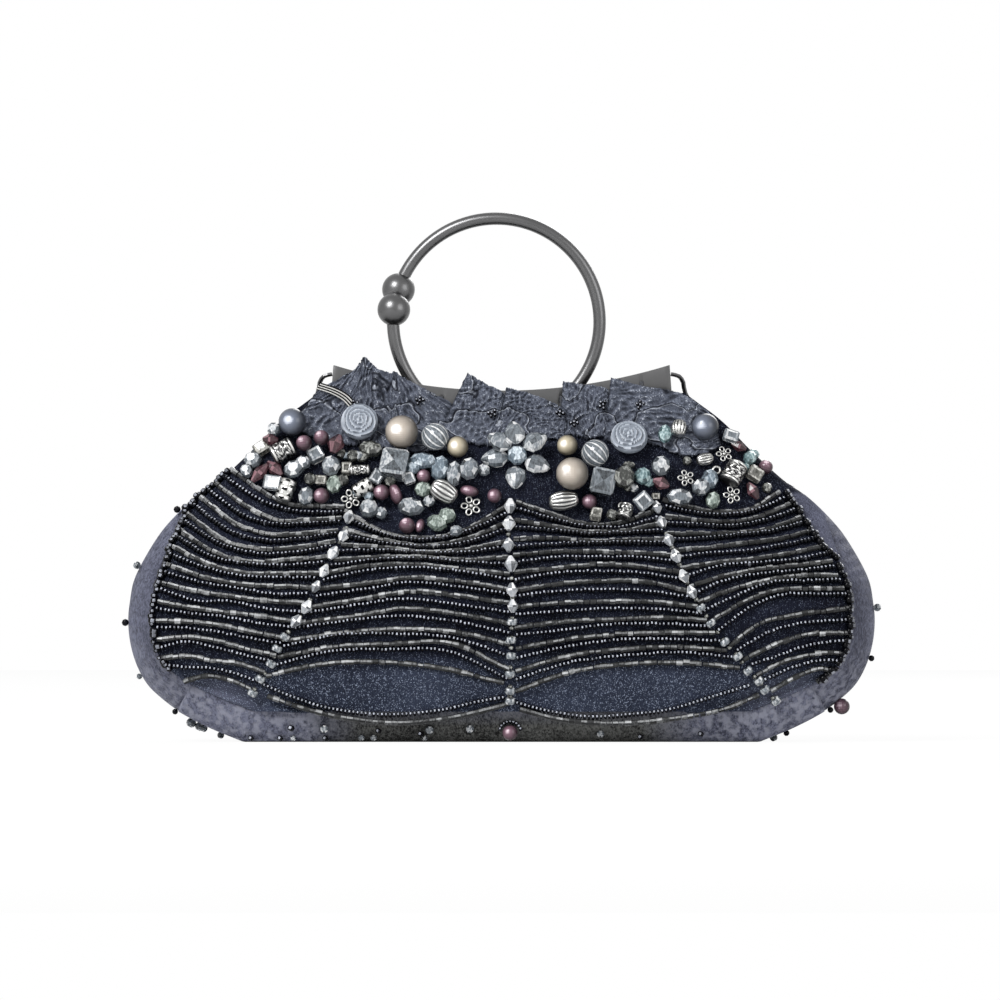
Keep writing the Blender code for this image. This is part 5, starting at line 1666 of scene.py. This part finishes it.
# %% Small cluster beads, in pixels: place, length and width, then the turn of the thread
CLUSTER = {
    "clear_rounds": ("round_crystal", CLEAR, "clear_bicones", 1.0, (
        (274, 429, 13, 13, 20), (253, 460, 17, 16, 0), (247, 471, 12, 14, 40), (303, 463, 15, 14, 10),
        (358, 456, 10, 10, 0), (454, 474, 26, 15, 85), (469, 469, 22, 19, 80), (369, 508.5, 18, 18, 0),
        (381, 513, 12, 12, 0), (456, 531, 12, 11, 20), (701, 487, 18, 17, 30), (429, 501, 12, 12, 0),
        (331, 466, 20, 18, 85), (306, 496, 18, 15, 80), (634, 488, 9, 9, 0), (484, 470, 12, 12, 15))),
    "clear_ovals": ("round_crystal", CLEAR, "clear_bicones", 0.9, (
        (294, 469, 20, 17, 30), (411, 507, 25, 18, -10), (661, 466, 20, 18, 75), (680, 496.6, 25, 16, -5))),
    "clear_cubes": ("cube", CLEAR, "clear_bicones", 0.8, (
        (316, 455, 15, 14, 30), (731, 436, 15, 11, -15), (643, 501, 16, 16, 40), (273, 483, 18, 14, -10),
        (409, 478, 12, 12, 20), (377, 477, 14, 12, 60))),
    "ivory_cubes": ("cube", IVORY_GLASS, "clear_bicones", 0.8, (
        (262, 448, 16, 12, 30), (755, 474, 15, 13, -30), (321, 480, 12, 9, -5), (346.6, 468.6, 12, 10, 90),
        (596, 514, 12, 11, 80), (656, 496, 8, 6, 0))),
    "smoke_rounds": ("round_crystal", SMOKE, "clear_bicones", 1.0, (
        (624, 477, 22, 21, 60), (353, 456, 12, 12, 0), (341, 454, 10, 10, 0), (343, 480, 12, 12, 0),
        (310, 479, 12, 12, 0), (767, 488, 10, 10, 0), (612, 515, 11, 11, 0), (687, 461, 9, 9, 0),
        (629, 465, 12, 7, 0), (628, 487, 9, 9, 0), (390, 481, 11, 11, 0))),
    "smoke_ovals": ("round_crystal", SMOKE, "clear_bicones", 0.8, (
        (371, 449, 24, 16, -15), (363, 457, 14, 10, 30))),
    "blue_rounds": ("round_crystal", BLUE_GLASS, "clear_bicones", 0.9, (
        (423, 461, 27, 16, -5), (440, 468, 25, 17, 80), (413, 468, 14, 13, 0), (710, 479, 20, 16, 80),
        (357, 492, 9, 9, 0), (345.7, 455.7, 8, 8, 0), (368.6, 495.7, 11, 10, 60))),
    "teal_rounds": ("round_crystal", TEAL_GLASS, "clear_bicones", 0.8, (
        (750, 458, 15, 13, 60), (754, 454, 11, 10, 0), (744, 468, 12, 10, 30), (643, 476, 17, 16, 80),
        (649, 482, 11, 10, 0), (665, 434, 20, 13, 85))),
    "green_rounds": ("round_crystal", GREEN_GLASS, "clear_bicones", 0.9, (
        (334, 484, 18, 15, 80), (423, 489, 16, 15, 0), (437, 523, 20, 16, -30), (447, 516, 17, 16, 0),
        (713, 500, 17, 14, 80))),
    "mauve_pearls": ("pearl", MAUVE_PEARL, "plum_pearl", 1.0, (
        (304, 443, 16, 16, 0), (321.4, 437.7, 15.5, 15.5, 0), (321.4, 495.7, 16, 16, 0),
        (381.4, 492.3, 16, 16, 0), (494.5, 495.7, 14.5, 14.5, 0), (423.7, 476.3, 14, 14, 0),
        (407, 525.7, 16, 16, 0), (589.4, 501.4, 15, 15, 0), (765.7, 467, 14.5, 14.5, 0))),
    "mauve_ovals": ("pearl", MAUVE_PEARL, "plum_pearl", 1.0, (
        (469.4, 491, 19, 11, -10), (395.7, 494.3, 22, 12, -70), (420, 525.7, 16, 9, 80))),
    "mauve_chips": ("bicone", MAUVE_CHIP, "plum_pearl", 1.0, (
        (270.6, 439.4, 16, 12, -10), (260, 473, 23, 13, 50), (275, 468.6, 21, 13, -45),
        (336, 444, 21, 17, 75), (738.6, 446.3, 16, 11, -20), (661, 483, 17, 14, -20),
        (753, 491, 19, 12, -60))),
    "silver_knots": ("ring", SILVER, "antique_silver", 1.0, (
        (622, 506, 9, 9, 0), (716.6, 470, 10, 10, 30), (627, 517, 8, 8, 0))),
    "silver_ribbed": ("fluted_oval", SILVER, "antique_silver", 1.0, (
        (679, 428, 17, 16, 85), (704.9, 459.4, 17, 13, 20))),
    "silver_tubes": ("scroll_barrel", SILVER, "antique_silver", 1.0, (
        (360, 470, 21, 10, 0), (625, 512, 17, 14, 75))),
}
RIBBON_FOOT = ((240, 447), (640, 447), (660, 452), (690, 460), (722, 450), (760, 440))
RIBBON_ROOM = 0.0026
CRYSTAL_SWELL = 1.1

for name, (pattern, material, slot, flatness, spots) in CLUSTER.items():
    px, py, length, width, turns = np.array(spots, float).T
    swell = CRYSTAL_SWELL if pattern == "round_crystal" else 1.0
    length, width = length * PIXEL * swell, width * PIXEL * swell
    room = np.where(py < np.interp(px, *np.transpose(RIBBON_FOOT)), RIBBON_ROOM, 0.0)
    places, outward = seen_at(px, py, width / 2 * flatness + GAP + room)
    threads = [turned_way(degrees) for degrees in turns]
    sizes = np.column_stack([length, width, width * flatness])
    lively = 0.0 if pattern == "pearl" else 0.5
    beads = sew_beads(name, pattern, places, threads, outward, sizes, 0.0, lively)
    finish_beads(beads, material, slot, "fold")
print(sum(len(row[4]) for row in CLUSTER.values()), "cluster beads")

# %% [markdown]
# ## Silver flowers and spotted beads
# The little flowers are five looped petals about a boss, cast in one. The spotted ones are barrels with
# dark pits. Both are antique silver, so the same finish serves.

# %% Silver flowers
FLOWER_SPOTS = ((471, 506, 22), (351, 499, 21), (686, 478, 18), (724, 454, 18), (732, 495, 19))
SPOTTED_SPOTS = ((286, 490, 17, 70), (363, 488, 15, 30))
FLOWER_HEIGHT = 0.0022


def boss_tone(centre):
    return 0.15 + 0.8 * max(centre.z, 0.0)


def pit_tone(centre):
    pits = math.cos(8 * centre.x) * math.cos(4 * math.atan2(centre.z, centre.y))
    return 0.03 if pits > 0.5 else 0.9


shape_pattern("boss", 12, 8, lambda points: points * 0.5, boss_tone)
shape_pattern("spotted", 40, 24, scroll_place, pit_tone)
loops, hearts = [], []
for px, py, width in FLOWER_SPOTS:
    (middle,), (outward,) = seen_at(px, py, FLOWER_HEIGHT)
    width = width * PIXEL
    side = unit(np.cross(outward, turned_way(90)))
    rise = np.cross(side, outward)
    for number in range(5):
        turn = 2 * math.pi * number / 5
        way = side * math.cos(turn) + rise * math.sin(turn)
        size = (0.40 * width, 0.34 * width, 0.50 * width)
        loops.append((middle + 0.30 * width * way, way, outward, size))
    hearts.append((middle, turned_way(0), outward, [0.24 * width] * 3))
flowers = sew_beads("silver_flowers", "ring", *zip(*loops), 0.0, 0.15)
finish_beads(flowers, SILVER, "antique_silver", "fold")
middles = sew_beads("silver_flower_hearts", "boss", *zip(*hearts))
finish_beads(middles, SILVER, "antique_silver", "fold")
for number, (px, py, width, degrees) in enumerate(SPOTTED_SPOTS):
    width = width * PIXEL
    place, outward = seen_at(px, py, width / 2)
    spotted = sew_beads(f"spotted_bead_{number + 1}", "spotted", place, turned_way(degrees), outward,
                        (1.35 * width, width, width))
    finish_beads(spotted, SILVER, "antique_silver", "fold")
print("silver flowers made")

# %% [markdown]
# ## Beads on the ribbon and the side band
# Small stars of black seeds are sewn on the ribbon, and a silver-striped cord crosses its first tab. The
# side band carries scattered seeds and clear beads, and a plum pearl with a crown of seeds sits at the
# middle of the foot. Dark stitches show in the slots of the frame plates. All of them reuse the bead
# patterns made above, apart from the cord, which is six thin rods side by side.

# %% Stars and striped cord
STARS = ((355, 405), (420, 401), (492, 413), (560, 412), (574, 422), (603, 405), (640, 405), (398, 427))
STAR_ARM = 0.0013
STAR_LIFT = 0.0006
STAR_BEAD = (0.0014, 0.0016, 0.0016)
RIBBON_FACE = 0.0042
CORD_LINE = ((319, 386), (334, 391), (345, 397), (352, 404))
CORD_STRANDS = 6
CORD_STEP = 0.95
CORD_LIFT = 0.0004
CORD_RADIUS = 0.00030


def on_ribbon(px, py, lift):
    """A place over the ribbon, which stands in front of the frame plate."""
    x, z = at_pixels(px, py)
    depth = max(float(panel_depth(x, z)), PLATE_FACE + FABRIC) + RIBBON_FACE + lift
    return np.array([x, -depth, z])


places = []
for px, py in STARS:
    for number in range(5):
        turn = 2 * math.pi * number / 5 + px
        arm = STAR_ARM if number else 0.0
        places.append(on_ribbon(px, py, STAR_LIFT) + arm * np.array([math.cos(turn), 0, math.sin(turn)]))
stars = sew_beads("ribbon_stars", "seed", places, turned_way(20), FRONT, STAR_BEAD, -0.12, 0.25)
finish_beads(stars, HEMATITE, "hematite_beads", "front_half")
for number in range(CORD_STRANDS):
    offset = CORD_STEP * (number - (CORD_STRANDS - 1) / 2)
    line = curve_through(np.add(CORD_LINE, (offset, -offset)))
    points = [on_ribbon(px, py, CORD_LIFT) for px, py in line]
    strand = rod(f"striped_cord_{number + 1}", points, CORD_RADIUS, 2)
    stripes = strand.data.attributes.new("tone", "FLOAT", "FACE")
    stripes.data.foreach_set("value", [0.05 if number % 2 else 1.0] * len(strand.data.polygons))
    dress(strand, SILVER)
    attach(strand, "front_half")
print(len(STARS), "stars and", CORD_STRANDS, "strands of cord made")

# %% Stitches through the plates' slots
STITCH_SIZE = (0.0062, 0.0016, 0.0008)
STITCH_DROP = SLOT_DROP + 0.0016
STITCH_LIFT = 0.0001

for end, side in HALVES:
    places = [(x, side * (PLATE_FACE + STITCH_LIFT), float(frame_edge(x, STITCH_DROP)))
              for x in SLOT_SHARES * PLATE_HALF_LENGTH]
    stitches = sew_beads(end + "_stitches", "bugle", places, (0.0, 0.0, 1.0), (0.0, side, 0.0),
                         STITCH_SIZE)
    finish_beads(stitches, LINING_CLOTH, "lining_satin", end + "_half")
print("stitches made")

# %% Beads on the side band and the base pearl
BAND_BEADS = {
    "band_dark": ("seed", HEMATITE, "hematite_beads", (
        (171.5, 504, 7), (124, 623, 7), (179, 707, 6), (281, 740, 6), (326, 739, 6), (292, 727, 7),
        (871, 659, 6), (829, 708, 6), (784, 723, 6), (252, 739, 6), (379, 730, 6), (421, 733, 6),
        (640, 736, 6), (700, 733, 6))),
    "band_clear": ("round_crystal", CLEAR, "clear_bicones", (
        (133, 565, 8), (141, 676, 6), (196, 713, 10), (204, 717, 9), (211, 714, 8), (227, 725, 7),
        (294, 739, 6), (325, 728, 9), (430, 729, 9), (470, 728, 9), (425, 739, 6), (874, 608, 8),
        (772, 735, 8), (374, 739, 7), (362, 739, 7), (600, 733, 8))),
    "band_plum": ("pearl", MAUVE_PEARL, "plum_pearl", ((841, 705, 16),)),
}
BAND_THREAD = (0.1, 1.0, 0.2)
RIM_BEAD_DEPTH = -0.010
FOOT_MARGIN = 0.004
CROWN_TURNS = np.linspace(20, 160, 9)
CROWN_RADIUS = 0.0041
CROWN_SETBACK = (0, 0.0008, 0)
CROWN_BEAD = (0.0015, 0.0016, 0.0016)


def on_band(px, py, radius):
    """A place on the side band: on its lower roll in front, or out on its rim at the sides."""
    x, z = at_pixels(px, py)
    z = max(z, radius + GAP)
    if abs(x) < outline_width(0.0) + FOOT_MARGIN and z < SEAM_FOOT:
        roll = BASE_FLAT_SHARE + (1 - BASE_FLAT_SHARE) * (z / SEAM_INSET) ** (1 / GUSSET_ROLL)
        return np.array([x, -SEAM_DEPTH * roll - radius * 0.7, z]), FRONT
    flip = (math.copysign(1, x), 1)
    nearest = int(np.argmin(np.linalg.norm(OUTLINE * flip - (x, z), axis=1)))
    way = OUTLINE_NORMALS[nearest] * flip
    spot = OUTLINE[nearest] * flip + way * radius * 0.8
    return np.array([spot[0], RIM_BEAD_DEPTH, max(spot[1], radius)]), np.array([way[0], 0.0, way[1]])


for name, (pattern, material, slot, spots) in BAND_BEADS.items():
    places, facings = zip(*[on_band(px, py, width * PIXEL / 2) for px, py, width in spots])
    sizes = [[width * PIXEL] * 3 for _, _, width in spots]
    if pattern == "pearl":
        beads = sew_beads(name, pattern, places, turned_way(0), FRONT, sizes)
    else:
        beads = sew_beads(name, pattern, places, BAND_THREAD, facings, sizes, 0.0, 0.4)
    finish_beads(beads, material, slot, "bag")

middle, size, _ = spot_of("base_pearl")
base_pearl = sew_beads("base_plum_pearl", "drilled_pearl", middle, turned_way(0), FRONT, [size[2]] * 3)
finish_beads(base_pearl, MAUVE_PEARL, "plum_pearl", "bag")
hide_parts("base_pearl")
crown = [middle + CROWN_RADIUS * turned_way(degrees) + CROWN_SETBACK for degrees in CROWN_TURNS]
crown_beads = sew_beads("base_pearl_crown", "seed", crown, turned_way(0), FRONT, CROWN_BEAD, 0.1, 0.3)
finish_beads(crown_beads, HEMATITE, "hematite_beads", "bag")
print("band beads made")

# %% [markdown]
# ## Carried-over pieces
# The hinge wires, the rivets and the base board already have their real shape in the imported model, so
# they stay and only get their finish.

# %% Finishes of the carried-over pieces
KEPT = {"base_board": BOARD, "hinge_rivet_left": STEEL, "hinge_rivet_right": STEEL}
for end, _ in HALVES:
    KEPT[end + "_wire_left"] = GUNMETAL
    KEPT[end + "_wire_right"] = GUNMETAL

for node, material in KEPT.items():
    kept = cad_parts[node]
    kept.data.materials.clear()
    kept.data.materials.append(material)
print(len(KEPT), "nodes kept")
